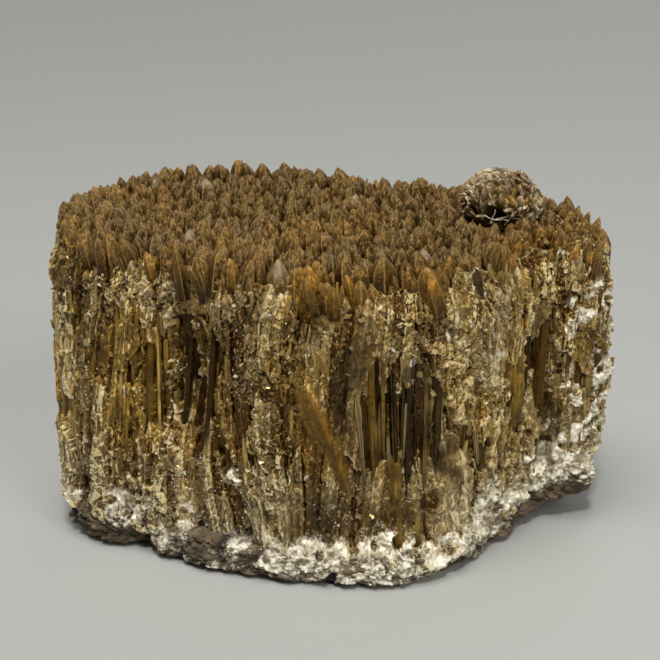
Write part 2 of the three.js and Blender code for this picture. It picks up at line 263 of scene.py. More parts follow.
print("girth of the rim:", round(GIRTH), "mm")

# %% [markdown]
# The broken sides aren't the same all over. Some stretches are smooth dark columns at the bottom of a
# hollow, which are dark of their own, and the same dark colour also paints the shade of the hollow. Some
# are golden, and some carry white crust. We name these patches by place and size, and turn them into
# weights from 0 to 1. The same weights steer the shape (smooth or sugary) and later the colour, so the two
# always agree. Noise makes the edges of the patches ragged.

# %% Patches of the broken sides
PATCHES = {
    # dark: glassy columns, dark of their own, which sit in the hollows, so this dark is also painted shade
    "dark": [  # place, width and height
        ((8.5, -2, 60), 6.5, 30), ((4, 0, 55), 3.2, 13), ((23, 1, 60), 4.5, 12), ((25, 1, 46), 9, 12),
        ((34, 5, 36), 4.5, 10), ((18, -1, 21), 12, 6), ((-4, -4, 19), 9, 11), ((-41, 12, 60), 6.5, 17),
        ((-46, 16, 52), 6, 7), ((-38, 12, 44), 4, 8), ((-29, 9, 41), 5, 4), ((64, 41, 56), 5.5, 17),
        ((68, 44, 38), 5, 8), ((80, 43, 62), 3.5, 10), ((-2, -2, 80), 2.5, 3), ((-66, 27, 66), 2.5, 9),
        ((-76, 33, 88), 1.6, 7), ((-74, 32, 38), 2.5, 7), ((-24, 6, 78), 2.5, 4), ((4, 122, 50), 11, 22),
        ((-60, 124, 40), 9, 14), ((88, 74, 44), 7, 18), ((-87, 84, 38), 8, 15), ((45, 108, 60), 7, 18),
        ((-30, 130, 66), 6, 14),
    ],
    "gold": [
        ((-5, -3, 86), 13, 7), ((16, -1, 62), 2.5, 10), ((19, -1, 33), 4, 7), ((54, 27, 56), 6, 24),
        ((44, 14, 46), 5, 8), ((-60, 22, 54), 10, 22), ((-83, 42, 46), 8, 24), ((50, 22, 32), 8, 8),
        ((-4, -4, 50), 7, 18), ((78, 42, 60), 4, 14), ((30, 3, 83), 7, 5), ((60, 33, 84), 9, 6),
        ((-30, 10, 50), 6, 12), ((-52, 18, 42), 4, 9), ((38, 8, 60), 3, 14), ((20, 117, 40), 12, 16),
        ((-76, 112, 56), 10, 22), ((68, 98, 50), 8, 20), ((-88, 66, 60), 8, 18),
    ],
    "white": [
        ((84, 43, 74), 9, 7), ((73, 41, 70), 3.5, 10), ((87, 50, 62), 4, 12), ((82, 45, 46), 8, 9),
        ((78, 46, 30), 11, 6), ((66, 43, 22), 9, 6), ((85, 44, 57), 4, 13), ((75, 42, 50), 2.5, 8),
        ((80, 43, 38), 5, 6), ((23, 1, 62), 2.5, 10), ((30, 3, 54), 2.5, 8), ((48, 18, 66), 4, 4),
        ((48, 19, 20), 9, 7), ((-41, 14, 20), 3.5, 3), ((-62, 23, 17), 9, 3), ((-26, 8, 30), 5, 3),
        ((36, 6, 74), 4, 4), ((34, 112, 22), 16, 8), ((-68, 118, 20), 12, 8), ((84, 84, 26), 10, 10),
        ((-86, 70, 20), 10, 8), ((14, -1, 7), 28, 6), ((8, -2, 10), 12, 4), ((42, 14, 11), 10, 6),
    ],
    "fibrous": [  # few grains, and smoother
        ((-60, 22, 52), 12, 24), ((-82, 42, 54), 8, 28), ((-40, 12, 24), 8, 8), ((54, 27, 56), 4, 20),
        ((-5, -3, 46), 7, 20), ((-22, 6, 50), 4, 10), ((80, 42, 56), 6, 12), ((16, -2, 40), 14, 18),
        ((76, 100, 50), 10, 26), ((-76, 112, 50), 10, 24), ((30, 115, 60), 9, 18),
    ],
    "sugary": [  # many grains
        ((-3, -3, 79), 7, 7), ((-24, 6, 80), 12, 7), ((-50, 17, 82), 9, 6), ((30, 3, 78), 9, 7),
        ((50, 19, 80), 7, 9), ((-22, 6, 62), 9, 10), ((-70, 29, 78), 9, 5), ((43, 13, 62), 6, 8),
        ((80, 43, 86), 12, 7), ((40, 10, 24), 7, 7), ((-40, 13, 30), 11, 5), ((-18, 3, 31), 12, 8),
        ((54, 27, 58), 4, 20), ((60, 110, 80), 16, 8), ((-30, 129, 84), 18, 7), ((-87, 80, 80), 14, 8),
        ((0, 122, 24), 20, 7),
    ],
    "bare": [  # rock without crust
        ((-74, 30, 3), 12, 3.5), ((-50, 18, -1), 13, 3), ((-26, 8, -2), 14, 2.5), ((76, 48, 12), 9, 4),
        ((62, 42, 6), 8, 4), ((80, 80, 10), 16, 5), ((10, 118, 3), 26, 5), ((-70, 108, 4), 18, 6),
        ((-82, 70, 3), 14, 4),
    ],
}
RAGGED = 2.6  # how far the noise moves the patches' edges


def patch_weight(kind, points):
    """1 inside the patches of a kind and 0 outside: each is a bell, and they are joined so that the sum
    never passes 1. The points are first moved by noise, which frays the edges."""
    sway = np.stack([layered_noise(points, 7, 40 + 10 * axis) for axis in range(3)], axis=-1)
    moved = points + RAGGED * sway
    left_out = np.ones(points.shape[:-1])
    for (x, y, z), wide, tall in PATCHES[kind]:
        across = ((moved[..., 0] - x) ** 2 + (moved[..., 1] - y) ** 2) / wide**2
        left_out *= 1 - 0.98 * np.exp(-((across + ((moved[..., 2] - z) / tall) ** 2) ** 1.5))
    return 1 - left_out


def crust_weight(points):
    """How much white powdery crust lies on a point: a ragged band along the foot that thins out upwards, the
    white patches, and none where the rock is bare. Speckle breaks it into clots."""
    above = points[..., 2] - seam_height(points)
    ragged = above + 5 * layered_noise(points, 12, 70)
    band = fade(ragged, -12, -6) * (1 - 0.6 * fade(ragged, 0, 5)) * (1 - fade(ragged, 4, 13))
    band *= 0.5 + 0.5 * fade(points[..., 0], -50, -5)
    speckle = fade(layered_noise(points, 3.2, 76), -0.6, 0.6)
    clots = fade(layered_noise(points, 6.5, 78), -0.8, 0.6)
    total = band * (0.08 + 0.55 * speckle + 0.5 * clots) + patch_weight("white", points) * (0.9 * speckle)
    return np.clip(total, 0, 1) * (1 - patch_weight("bare", points))


print("patches:", {kind: len(places) for kind, places in PATCHES.items()})

# %% [markdown]
# The columns show in the broken sides as ranks: broad ones, narrower ones on them, and fibres on those. One
# rank is a row of cells along the wall. A column has a flat crown that slopes off to its neighbours, it
# stands a little more or less proud than they do, and somewhere up its height a length of it has snapped
# off, which leaves a ledge. Adding four ranks gives steps of every size, as in the real break.

# %% Ranks of columns
# Of each rank, in mm: the width of a column, the height of its crown, how much columns differ and how deep a
# snapped length is. The last number is the rank's share in the tone.
RANKS = (
    (12.5, 1.0, 1.3, 2.0, 0.10), (5.4, 0.6, 0.7, 1.2, 0.14),
    (2.6, 0.25, 0.30, 0.6, 0.10), (1.3, 0.10, 0.12, 0.2, 0.04),
)


def column_rank(along, height, width, seed):
    """One rank of columns, cut off a strip as long as the girth. A point belongs to the column with the
    nearest centre, and s is its step from there in widths. Returns the crown, 1 in the middle and 0 at the
    borders, the column's own random number, and 1 where a length of the column is missing."""
    count = int(round(GIRTH / width))
    place = along / GIRTH * count
    cell = np.floor(place)
    best, owner, s = np.full(place.shape, 9.0), np.zeros(place.shape, np.int64), np.zeros(place.shape)
    for step in (-1, 0, 1):
        k = (cell + step).astype(np.int64)
        centre = k + 0.5 + 0.7 * (scramble((k % count)[..., None], seed) - 0.5)
        away = place - centre
        closer = np.abs(away) < best
        best, s = np.where(closer, np.abs(away), best), np.where(closer, away, s)
        owner = np.where(closer, k % count, owner)
    chance = [scramble(owner[..., None], seed + n) for n in range(1, 6)]
    crown = np.clip(1.7 * (1 - best / 0.62), 0, 1) + 0.5 * (chance[0] - 0.5) * s * 2
    middle, reach = 100 * chance[1], (0.04 + 0.3 * chance[2] ** 2) * 95
    slant = (chance[3] - 0.5) * 5 * s * width
    gone = fade(reach - np.abs(height + slant - middle), 0, 0.5)
    return crown, chance[4], gone


def wall_top(around):
    """How far below the points the broken side ends: 7 mm, 4 mm more or less from place to place."""
    spot = np.stack([around * GIRTH, 0 * around, 0 * around], axis=-1)
    return 6.8 + 2.6 * smooth_noise(spot, 6.5, 12) + 1.6 * smooth_noise(spot, 2.4, 13)


print("columns in each rank:", [round(GIRTH / width) for width, *_ in RANKS])

# %% [markdown]
# At the middle of the front one long blade of honey leans across the columns. It could be a crystal of its
# own, but it has grown into the wall along its whole length, so it is raised from the wall as a rib. Then
# each point of the smooth wall is moved outwards by the sum of all these reliefs, and marked with what the
# finish has to know of it, such as how dark or how proud it is.

# %% The surface of the broken sides
BLADE_HEIGHTS = (22, 30, 36, 43, 48, 60, 68, 74)
BLADE_MIDDLES = (5.6, 4.4, 2.6, 0.2, -2.4, -7.2, -9.6, -11)  # x of its middle at each height
BLADE_HALVES = (1.2, 1.5, 1.8, 2.6, 3.4, 4.0, 4.2, 3.5)  # half its width at each height
BLADE_STANDS = 2.0  # how far it stands proud
FRONT_HALF = 40  # the wall's points with a smaller y than this belong to the front


def blade_rib(points):
    """The leaning blade, as a rib with a sharp ridge right of its middle: the lower of two slopes. Returns
    how far it stands proud, a weight from 0 to 1 that says where it is, and 1 left of the ridge, on the face
    that gets painted shade."""
    height = points[..., 2]
    middle, half = (np.interp(height, BLADE_HEIGHTS, row) for row in (BLADE_MIDDLES, BLADE_HALVES))
    place = (points[..., 0] - middle) / half
    there = np.exp(-np.abs(place) ** 6) * fade(height, 24, 32)
    there = there * (1 - fade(height, 52, 70)) * (points[..., 1] < FRONT_HALF)
    faces = np.minimum(0.75 + 0.45 * place, 1.25 - 0.8 * place)
    return BLADE_STANDS * np.clip(faces, -0.4, 1.0), there, 1 - fade(place, 0.1, 0.5)


def wall_surface(around, share):
    """The broken side: the smooth wall, moved along its outward direction. The relief is the sum of the
    ranks of columns, of facets where it isn't smooth and dark, and of lumps where there is crust, less small
    holes. The blade takes its place where it lies, and it falls back below the rock foot's upper edge and
    under the points. Returns the points, the outward direction, and the marks for the finish: among them
    the tone, which follows the columns and carries painted light, higher towards the right and lower at the
    far left; proud, which the finish paints as shade in creases and holes and as highlight on ridges; dark,
    which on the blade's left face is painted shade; and the veil, a pale bloom above the seam and on sugary
    patches."""
    points, out = smooth_wall(around, share, wall_top(around))
    height = points[..., 2]
    dark, gold, crust = patch_weight("dark", points), patch_weight("gold", points), crust_weight(points)
    lean = 0.10 * (height - 50) * np.sin(around * 2 * np.pi * 7 + 1.0)
    along = around * GIRTH + lean + 0.5 * smooth_noise(points, 6, 5)
    along += 1.6 * smooth_noise(points * [1, 1, 0.6], 14, 6)
    sugar = (1 - dark) * (0.35 + 0.65 * fade(smooth_noise(points, 17, 8), -0.5, 0.3))
    sugar *= 1 - 0.75 * patch_weight("fibrous", points)
    jag = layered_noise(points, 3.0, 90) * 2.5
    relief, fine, tone = (np.zeros(height.shape) for _ in range(3))
    for n, (width, crown_height, differ, depth, share_in_tone) in enumerate(RANKS):
        crown, own, gone = column_rank(along, height + jag, width, 300 + 20 * n)
        calm = 1 - dark * (0.75 if n == 0 else 0.35 if n == 1 else 0.6)
        step = crown_height * (crown - 0.7) * (1 - 0.4 * sugar)
        step = step + differ * (own - 0.5) * calm - depth * gone * calm
        relief += step + 0.7 * crown_height
        fine += step if n else 0
        tone += share_in_tone * own
    # Painted light: the tone is raised towards the right-hand end, from x = 20 to 60 mm, and lowered at the
    # far left; the noise in it is the columns' own
    tone += 0.27 + 0.30 * layered_noise(points * [1, 1, 0.7], 7, 560) + 0.20 * fade(points[..., 0], 20, 60)
    tone -= 0.07 * (1 - fade(points[..., 0], -78, -40))
    fibre = np.array([1.0, 1.0, 0.42])
    long_facets, long_own = facets(points * fibre, 2.4, 400)
    grain_facets, grain_own = facets(points, 3.3, 440)
    fine_facets, fine_own = facets(points, 1.6, 480)
    broken = (1 - dark) * (0.35 * long_facets + sugar * (0.85 * grain_facets + 0.42 * fine_facets))
    holes = (1 - dark) * fade(layered_noise(points * [1, 1, 0.6], 7.5, 570), 0.50, 0.85)
    relief += broken - 2.6 * holes
    # proud: high on ridges, low in creases and holes; the finish paints painted highlight and painted shade
    # by it
    proud = np.clip(0.62 + 0.5 * (fine + broken) - 0.9 * holes, 0, 1)
    stands, on_blade, left = blade_rib(points)
    relief += (stands + 0.15 * long_facets - relief) * on_blade
    # The blade's face left of its ridge gets more dark: painted shade, as that face is turned from the light
    dark, gold = dark + (0.1 + 0.5 * left - dark) * on_blade, np.maximum(gold, on_blade)
    proud = proud + (0.62 - proud) * on_blade
    relief += 0.10 * dark * smooth_noise(points * fibre, 2.2, 520)
    lumps = 0.6 * fade(smooth_noise(points, 1.9, 530), -0.2, 0.7) + 0.9 * smooth_noise(points, 4.0, 531)
    relief += crust * lumps
    above_seam = height - seam_height(points)
    veil = 1 - fade(above_seam + 8 * layered_noise(points, 11, 540), 5, 28)
    veil = np.maximum(veil, 0.7 * patch_weight("sugary", points)) * (1 - on_blade)
    relief -= 5 * (1 - fade(above_seam + 2 * smooth_noise(points, 6, 9), -7, -2))
    relief -= 2.4 * fade(height - tip_height(points), -16, -7)
    marks = {"dark": dark, "gold": gold, "crust": crust, "tint": fine_own, "gloss": grain_own,
             "lump": long_own, "proud": proud, "tone": tone, "veil": veil * (1 - dark), "blade": on_blade}
    return points + out * relief[..., None], out, marks


spot = wall_surface(np.array([0.1]), np.array([0.5]))[0][0]
print("a spot of the broken side, in mm:", spot.round(1))

# %% [markdown]
# Every piece reaches Blender through one helper. It takes whole arrays of points and faces, moves them to
# the block's origin in metres, and stores what the finish needs as attributes on the points. `shell` turns
# a grid of points into a closed body: the grid is the visible skin, and its border is drawn together to one
# hub deep inside the block, where nobody sees it.

# %% From arrays to pieces
MM = 0.001


def put_in_scene(name, data):
    """A new object that shows the given mesh, light or camera."""
    made = bpy.data.objects.new(name, data)
    bpy.context.scene.collection.objects.link(made)
    return made


def make_piece(name, points, faces, marks=(), smooth=True, slot="honey_calcite", lines=None, uv=None):
    """A mesh object from points in drawing millimetres and a list of face arrays (three or four corners to
    a row). marks are numbers stored on the points, and smooth is one answer for all or one for each face.
    An edge is sharp where both of its points carry the same number in lines, unless that is negative."""
    mesh = bpy.data.meshes.new(name)
    mesh.vertices.add(len(points))
    mesh.vertices.foreach_set("co", ((points - ORIGIN) * MM).astype(np.float32).ravel())
    corners = np.concatenate([part.ravel() for part in faces])
    sizes = np.concatenate([np.full(len(part), part.shape[1]) for part in faces])
    mesh.loops.add(len(corners))
    mesh.loops.foreach_set("vertex_index", corners.astype(np.int32))
    mesh.polygons.add(len(sizes))
    mesh.polygons.foreach_set("loop_start", np.concatenate([[0], np.cumsum(sizes)[:-1]]).astype(np.int32))
    mesh.polygons.foreach_set("use_smooth", np.broadcast_to(smooth, len(sizes)).astype(bool))
    for mark, values in dict(marks).items():
        layer = mesh.attributes.new(mark, "FLOAT", "POINT")
        layer.data.foreach_set("value", np.asarray(values, np.float32).ravel())
    mesh.update(calc_edges=True)
    if lines is not None:
        ends = np.zeros(2 * len(mesh.edges), np.int32)
        mesh.edges.foreach_get("vertices", ends)
        ends = lines[ends.reshape(-1, 2)]
        mesh.edges.foreach_set("use_edge_sharp", (ends[:, 0] == ends[:, 1]) & (ends[:, 0] >= 0))
    if uv is not None:
        mesh.uv_layers.new(name="faces").data.foreach_set("uv", uv.astype(np.float32).ravel())
    piece = put_in_scene(name, mesh)
    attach(piece, "root")
    print(f"{name}: {len(points)} points, {int(sum(sizes - 2))} triangles")
    return piece


def grid_faces(across, up):
    """The quads of a grid whose points run first up each column and then across, facing outwards."""
    i, j = np.meshgrid(np.arange(across - 1), np.arange(up - 1), indexing="ij")
    first = (i * up + j).ravel()
    return np.stack([first, first + up, first + up + 1, first + 1], axis=1)


def shell(name, points, marks, hub, **settings):
    """A closed body from a grid (across, up, 3): its four sides, walked in order, are joined to the hub."""
    across, up = points.shape[:2]
    index = np.arange(across * up).reshape(across, up)
    border = np.concatenate([index[:-1, 0], index[-1, :-1], index[:0:-1, -1], index[0, :0:-1]])
    close = np.stack([np.roll(border, -1), border, np.full(len(border), across * up)], axis=1)
    flat = np.concatenate([points.reshape(-1, 3), [hub]])
    marks = {mark: np.append(values.ravel(), 0.0) for mark, values in marks.items()}
    return make_piece(name, flat, [grid_faces(across, up), close], marks, **settings)


# %% [markdown]
# The broken side goes round the block in three pieces, two for the front and one for the back, because a
# piece should stay under 200,000 triangles. The front gets the finer grid. Smooth shading suits the glassy
# columns at the bottom of the hollows, and flat shading lets each facet of the sugary parts catch the light
# on its own.

# %% The broken sides
FRONT_END = float(np.interp(12 / len(RIM), round_share, round_length)) / GIRTH  # corner 12 is the right end
HUB = np.array([HEART[0], HEART[1], 45.0])


def broken_side(name, start, end, across, up):
    """One stretch of the broken side, from `start` to `end` of the way round. A point that stands further
    out than the mean of its four neighbours is on a ridge, which counts as proud, and one further in is in a
    crease: the finish paints ridges lighter as a painted highlight, and creases darker as painted shade."""
    around, share = np.meshgrid(np.linspace(start, end, across), np.linspace(0.02, 1, up), indexing="ij")
    points, out, marks = wall_surface(around, share)
    neighbours = sum(np.roll(points, step, axis) for axis in (0, 1) for step in (-1, 1)) / 4
    ridge = np.sum((points - neighbours) * out, axis=-1)
    ridge[0], ridge[-1], ridge[:, 0], ridge[:, -1] = 0, 0, 0, 0
    marks["proud"] = marks["proud"] + np.clip(1.8 * ridge, -0.3, 0.3)
    calm = ((marks["dark"] > 0.5) | (marks["blade"] > 0.5) | (marks["crust"] > 0.6))[:-1, :-1].ravel()
    smooth = np.concatenate([calm, np.zeros(2 * (across + up) - 4, bool)])
    return shell(name, points, marks, HUB, smooth=smooth)


wall_left = broken_side("broken_front_left", 0.0, FRONT_END / 2, 400, 220)
wall_right = broken_side("broken_front_right", FRONT_END / 2, FRONT_END, 400, 220)
wall_back = broken_side("broken_back", FRONT_END, 1.0, 400, 144)


# %% [markdown]
# The carpet on top is a lattice of upright crystals, about 600 of them, with their places taken from the
# plain model, so that each modelled point has its fine one. A crystal of this habit is a bullet: six narrow
# faces that curve in to a point, with crisp edges between them. We make it once as a profile, a list of how
# wide it is at each depth below its tip, and turn it out for all crystals at the same time as one array.

# %% Crystals from a profile
BULLET = np.array([(0.03, 0.19), (0.095, 0.46), (0.19, 0.71), (0.31, 0.90), (0.48, 1.0), (1.0, 1.0)])
SIDES = 6
rng = np.random.default_rng(11)


def unit(vectors):
    """Vectors made one long."""
    return vectors / np.linalg.norm(vectors, axis=-1, keepdims=True)


def crystals(name, tips, feet, radii, marks, profile=BULLET, flat=0.86, rough=0.10, wobble=0.05, bend=0.0,
             thin=None, shade=1.0, **settings):
    """Crystals from tip to foot, all in one piece. At the depth share d of the profile, ring corner k lies
    at tip + d * (foot - tip) + radius * width * (cos a * u + sin a * flat * v), where a is k sixths of a
    turn plus a random turn, and u and v stand across the axis. The middle bows aside by bend radii, times the
    sine of d half turns. Each corner is a little in or out (rough), and again on each ring (wobble). thin
    is the way in which a flat crystal is thin, and without it that way is random. The mark depth is the
    way down from the tip in mm, times shade; the finishes of the points and of the knob's leaves paint shade
    by it, darker further down."""
    count, rings = len(tips), len(profile)
    axis = feet - tips
    level = unit(np.cross(axis, rng.normal(size=(count, 3)) if thin is None else thin))
    beside = unit(np.cross(level, axis))
    sixths = rng.random((count, 1)) + np.arange(SIDES) + rng.uniform(-0.12, 0.12, (count, SIDES))
    turn = sixths * 2 * np.pi / SIDES
    every_other = 1 + 0.06 * np.cos(np.pi * np.arange(SIDES))
    out = every_other * (1 + rough * rng.uniform(-1, 1, (count, SIDES)))
    across = np.cos(turn)[..., None] * level[:, None] + flat * np.sin(turn)[..., None] * beside[:, None]
    across *= (radii[:, None] * out)[..., None]
    bow = bend * radii[:, None] * unit(rng.normal(size=(count, 3)))
    depth, width = profile[:, 0], profile[:, 1]
    ring = tips[:, None] + depth[None, :, None] * axis[:, None]
    ring = ring + np.sin(np.pi * depth)[None, :, None] * bow[:, None]
    uneven = 1 + wobble * rng.uniform(-1, 1, (count, rings, SIDES, 1))
    body = ring[:, :, None] + width[None, :, None, None] * uneven * across[:, None]
    points = np.concatenate([tips[:, None], body.reshape(count, -1, 3), feet[:, None]], axis=1)
    per = points.shape[1]
    k, r = np.arange(SIDES), np.arange(rings - 1)[:, None]
    then = (k + 1) % SIDES
    bands = np.stack([1 + r * SIDES + k, 1 + (r + 1) * SIDES + k, 1 + (r + 1) * SIDES + then,
                      1 + r * SIDES + then], axis=-1).reshape(-1, 4)
    top = np.stack([0 * k, 1 + k, 1 + then], axis=-1)
    low = 1 + (rings - 1) * SIDES
    bottom = np.stack([0 * k + per - 1, low + then, low + k], axis=-1)
    shift = (np.arange(count) * per)[:, None, None]
    faces = [(shift + part).reshape(-1, part.shape[1]) for part in (top, bands, bottom)]
    lines = np.concatenate([[-1], np.tile(k, rings), [-1]])
    lines = np.where(lines < 0, -1, lines + np.arange(count)[:, None] * SIDES).ravel()
    down = np.concatenate([[0], np.repeat(depth, SIDES), [1]])
    upper, under = depth[r] + 0 * k, depth[r + 1] + 0 * k
    uv_top = np.stack([np.stack([0.5 + 0 * k, 0 * k], -1), np.stack([0 * k, depth[0] + 0 * k], -1),
                       np.stack([1 + 0 * k, depth[0] + 0 * k], -1)], axis=1)
    uv_bands = np.stack([np.stack([0 * upper, upper], -1), np.stack([0 * under, under], -1),
                         np.stack([1 + 0 * under, under], -1), np.stack([1 + 0 * upper, upper], -1)], axis=2)
    uv_bottom = np.ones((SIDES, 3, 2))
    uv = np.concatenate([np.tile(part.reshape(-1, 2), (count, 1)) for part in (uv_top, uv_bands, uv_bottom)])
    marks = {mark: np.repeat(values, per) for mark, values in marks.items()}
    marks["depth"] = (down[None, :] * (shade * np.linalg.norm(axis, axis=-1))[:, None]).ravel()
    return make_piece(name, points.reshape(-1, 3), faces, marks, lines=lines, uv=uv, **settings)


print("faces of one crystal:", SIDES * (len(BULLET) + 1))

# %% [markdown]
# Now the places. The lattice is skewed by sixty degrees, so that every crystal has six neighbours, and each
# place is shifted at random. A place counts if it lies inside the rim. Where three crystals meet there is a
# groove, and in most grooves we put a small crystal, because the real points grow in crowded bundles.

# %% The carpet of points
rim_line = loop_curve(RIM, np.arange(200) / 200)[0]


def inside_rim(places):
    """True inside the rim: a level line drawn from the place crosses the outline an odd number of times."""
    a, b = rim_line, np.roll(rim_line, -1, axis=0)
    x, y = places[..., 0, None], places[..., 1, None]
    crosses = (a[:, 1] > y) != (b[:, 1] > y)
    rise = np.where(b[:, 1] == a[:, 1], 1e-9, b[:, 1] - a[:, 1])
    return np.sum(crosses & (x < a[:, 0] + (b[:, 0] - a[:, 0]) * (y - a[:, 1]) / rise), axis=-1) % 2 == 1


def column_place(i, j):
    """Where the column (i, j) of the skewed lattice stands."""
    x = PITCH * (i + j / 2) + PITCH_JITTER * (lattice_hash(i, j, 1) - 0.5)
    y = PITCH * j * math.sqrt(0.75) + PITCH_JITTER * (lattice_hash(i, j, 2) - 0.5)
    return np.stack([x, y], axis=-1)


def knob_drop(places):
    """How much lower the points stand where the knob covers them."""
    x, y = (places[..., axis] - KNOB_AT[axis] for axis in (0, 1))
    away = np.hypot(x / KNOB_RADII[0], y / KNOB_RADII[1])
    return KNOB_BOWL * (1 - fade(away, 0.75, 1.2))


def rim_distance(places):
    """Distance in mm from each place to the rim."""
    return np.min(np.linalg.norm(places[:, None] - rim_line[None], axis=-1), axis=1)


def rim_share(places):
    """1 at the rim, and 0 from 8 mm inside it."""
    return 1 - fade(rim_distance(places), 2.5, 8)


KNOB_BOWL = 6.0  # how deep the points sink under the knob
i, j = (part.ravel() for part in np.meshgrid(np.arange(-80, 41), np.arange(-4, 41), indexing="ij"))
place = column_place(i, j)
pushed = place + CARPET_INSET * unit(place - HEART)
kept = inside_rim(pushed)
i, j, place = i[kept], j[kept], place[kept]
lean = TIP_LEAN * np.stack([lattice_hash(i, j, 3), lattice_hash(i, j, 4)], axis=-1) - TIP_LEAN / 2
tip_z = tip_height(place) - knob_drop(place)
tip_z += TIP_SPREAD * (lattice_hash(i, j, 5) - 0.6)
column_tips = np.column_stack([place + lean, tip_z])
count = len(place)
print("columns in the carpet:", count)

# %% [markdown]
# All upright and alike, the points would look planted. On the real carpet neighbours lean the same way, as
# grass does, and those at the rim lean out over the edge. So each crystal gets a slope from a field that
# wanders slowly over the block, plus its own share of chance. One helper makes them all, large or small.

# %% The points
def tilt_field(places):
    """Slope of the crystals' axes: it wanders slowly over the carpet, so neighbours lean alike."""
    spots = np.column_stack([places, np.zeros(len(places))])
    drift = np.stack([smooth_noise(spots, 24, 600 + axis) for axis in range(2)], axis=-1)
    return 0.16 * drift + 0.17 * rng.uniform(-1, 1, (len(places), 2))


def carpet_marks(places, pale_share):
    """What the finish needs to know of each crystal: its own tint, how golden it is (more so in the golden
    patches, on some stretches and at the rim, where the extra gold is a painted glow of light through the
    free-standing crystals), and 1 for the few that are pale."""
    spots = np.column_stack([places, tip_height(places) - 8])
    golden = patch_weight("gold", spots) + 0.35 * fade(smooth_noise(spots, 30, 610), 0, 0.8)
    # At the rim: painted glow of light through the free-standing crystals, which also lessens their painted
    # shade
    golden = np.clip(golden + 0.35 * rim_share(places), 0, 1)
    return {"tint": rng.random(len(places)), "gold": golden,
            "pale": (rng.random(len(places)) < pale_share) * 1.0}


def carpet_crystals(name, places, heights, sizes, lengths, pale_share, splay=0.0):
    """Crystals with their tips at the given places and heights. Their feet stand lower by their lengths,
    moved by the tilt field and, at the rim or for a splayed bunch, drawn in under the block."""
    near_rim = rim_share(places)
    slope = tilt_field(places) + (splay + 0.20 * near_rim[:, None]) * unit(places - HEART)
    tips = np.column_stack([places, heights])
    low = tips - np.column_stack([slope * lengths[:, None], lengths])
    # shade: rim crystals get half the painted shade of the grooves
    return crystals(name, tips, low, sizes, carpet_marks(places, pale_share), bend=0.10,
                    shade=1 - 0.5 * near_rim)


PALE_SHARE = 0.01  # one crystal in a hundred is pale
on_lobe = fade(place[:, 0], 62, 76)  # 1 on the right-hand lobe, where the points are finer
radius = (2.4 + 2.0 * rng.random(count) ** 1.3) * (1 - 0.25 * on_lobe)
lower = 2.6 * rng.random(count) ** 2 + (1.5 - 3.2 * fade(place[:, 1], 50, 75)) * on_lobe
tip_z -= lower - 0.5 * (radius - 2.6)
point_places = place + lean + 1.6 * on_lobe[:, None] * unit(place - HEART)
columns = carpet_crystals("points", point_places, tip_z, radius, rng.uniform(13, 16, count), PALE_SHARE)

# %% [markdown]
# Round the rim a second row closes the gaps that the lattice leaves. Its crystals hang lower, by a
# different amount each, and run further down the broken side. One bunch of golden ones juts out at the
# front. Both could be placed by hand, but only the bunch is a landmark, so the row is drawn at random.

# %% Crystals round the rim
ROW_STEP = 3.9  # from one crystal of the row to the next
row_count = int(GIRTH / ROW_STEP)
row_share = (np.arange(row_count) + rng.uniform(0.1, 0.9, row_count)) / row_count
row_place = loop_curve(RIM, curve_share(row_share))[0]
row_place = row_place - rng.uniform(1.9, 3.6, (row_count, 1)) * unit(row_place - HEART)
row_z = tip_height(row_place) - rng.uniform(1.0, 6.5, row_count)
rim_row = carpet_crystals("rim_points", row_place, row_z, rng.uniform(1.5, 2.7, row_count),
                          rng.uniform(8, 12, row_count), PALE_SHARE, splay=0.06)
BUNCH = np.array([
    (-16, 3.4), (-12.8, 1.6), (-9.6, 0.6), (-6.2, -0.4), (-2.6, -0.8), (0.8, -0.6), (-14.4, 3.2),
    (-10.6, 2.4), (-4.2, 1.2), (4.4, 0.2), (24.5, 3.2), (28.2, 4.4), (31.6, 5.8), (50, 22), (53.5, 27),
])
bunch_z = tip_height(BUNCH) - rng.uniform(3.0, 7.5, len(BUNCH))
bunch = carpet_crystals("golden_bunch", BUNCH, bunch_z, rng.uniform(1.7, 2.5, len(BUNCH)),
                        rng.uniform(9, 12, len(BUNCH)), 0.0, splay=0.22)

# %% [markdown]
# The small crystals come in two kinds: in the grooves, and hugging the shoulder of a big crystal. They
# reuse the same profile with other sizes.

# %% Small crystals between the points
GROOVE_SHARE, SHOULDER_SHARE = 0.40, 0.5  # how many grooves and big crystals have a small one
beside, behind, before = column_place(i + 1, j), column_place(i, j + 1), column_place(i + 1, j - 1)
groove = (place + beside + behind) / 3
other = (place + beside + before) / 3
groove = np.concatenate([groove, other])
groove = groove[inside_rim(groove + 2.2 * unit(groove - HEART))]
groove = groove[rng.random(len(groove)) < GROOVE_SHARE]
side = unit(rng.normal(size=(count, 2)))
shoulder = place + lean * 0.6 + side * (radius * rng.uniform(0.7, 1.05, count))[:, None]
shoulder = shoulder[rng.random(count) < SHOULDER_SHARE]
small = np.concatenate([groove, shoulder])
small = small[rim_distance(small) > 1.2]
small_z = tip_height(small) - knob_drop(small)
small_z -= rng.uniform(1.6, 5.2, len(small))
small_points = carpet_crystals("small_points", small, small_z, rng.uniform(1.1, 2.1, len(small)),
                               rng.uniform(7, 10, len(small)), PALE_SHARE)

# %% [markdown]
# Close up, the big crystals aren't smooth: tiny crystals sit on their shoulders like scales, all pointing
# the same way, and give them a toothed outline. A scale needs only three rings.

# %% Scales on the shoulders
SCALE = np.array([(0.16, 0.55), (0.45, 1.0), (1.0, 0.8)])
SCALE_COUNT, POINT_LENGTH = 2200, 14.5
column_feet = column_tips + [0, 0, -POINT_LENGTH]


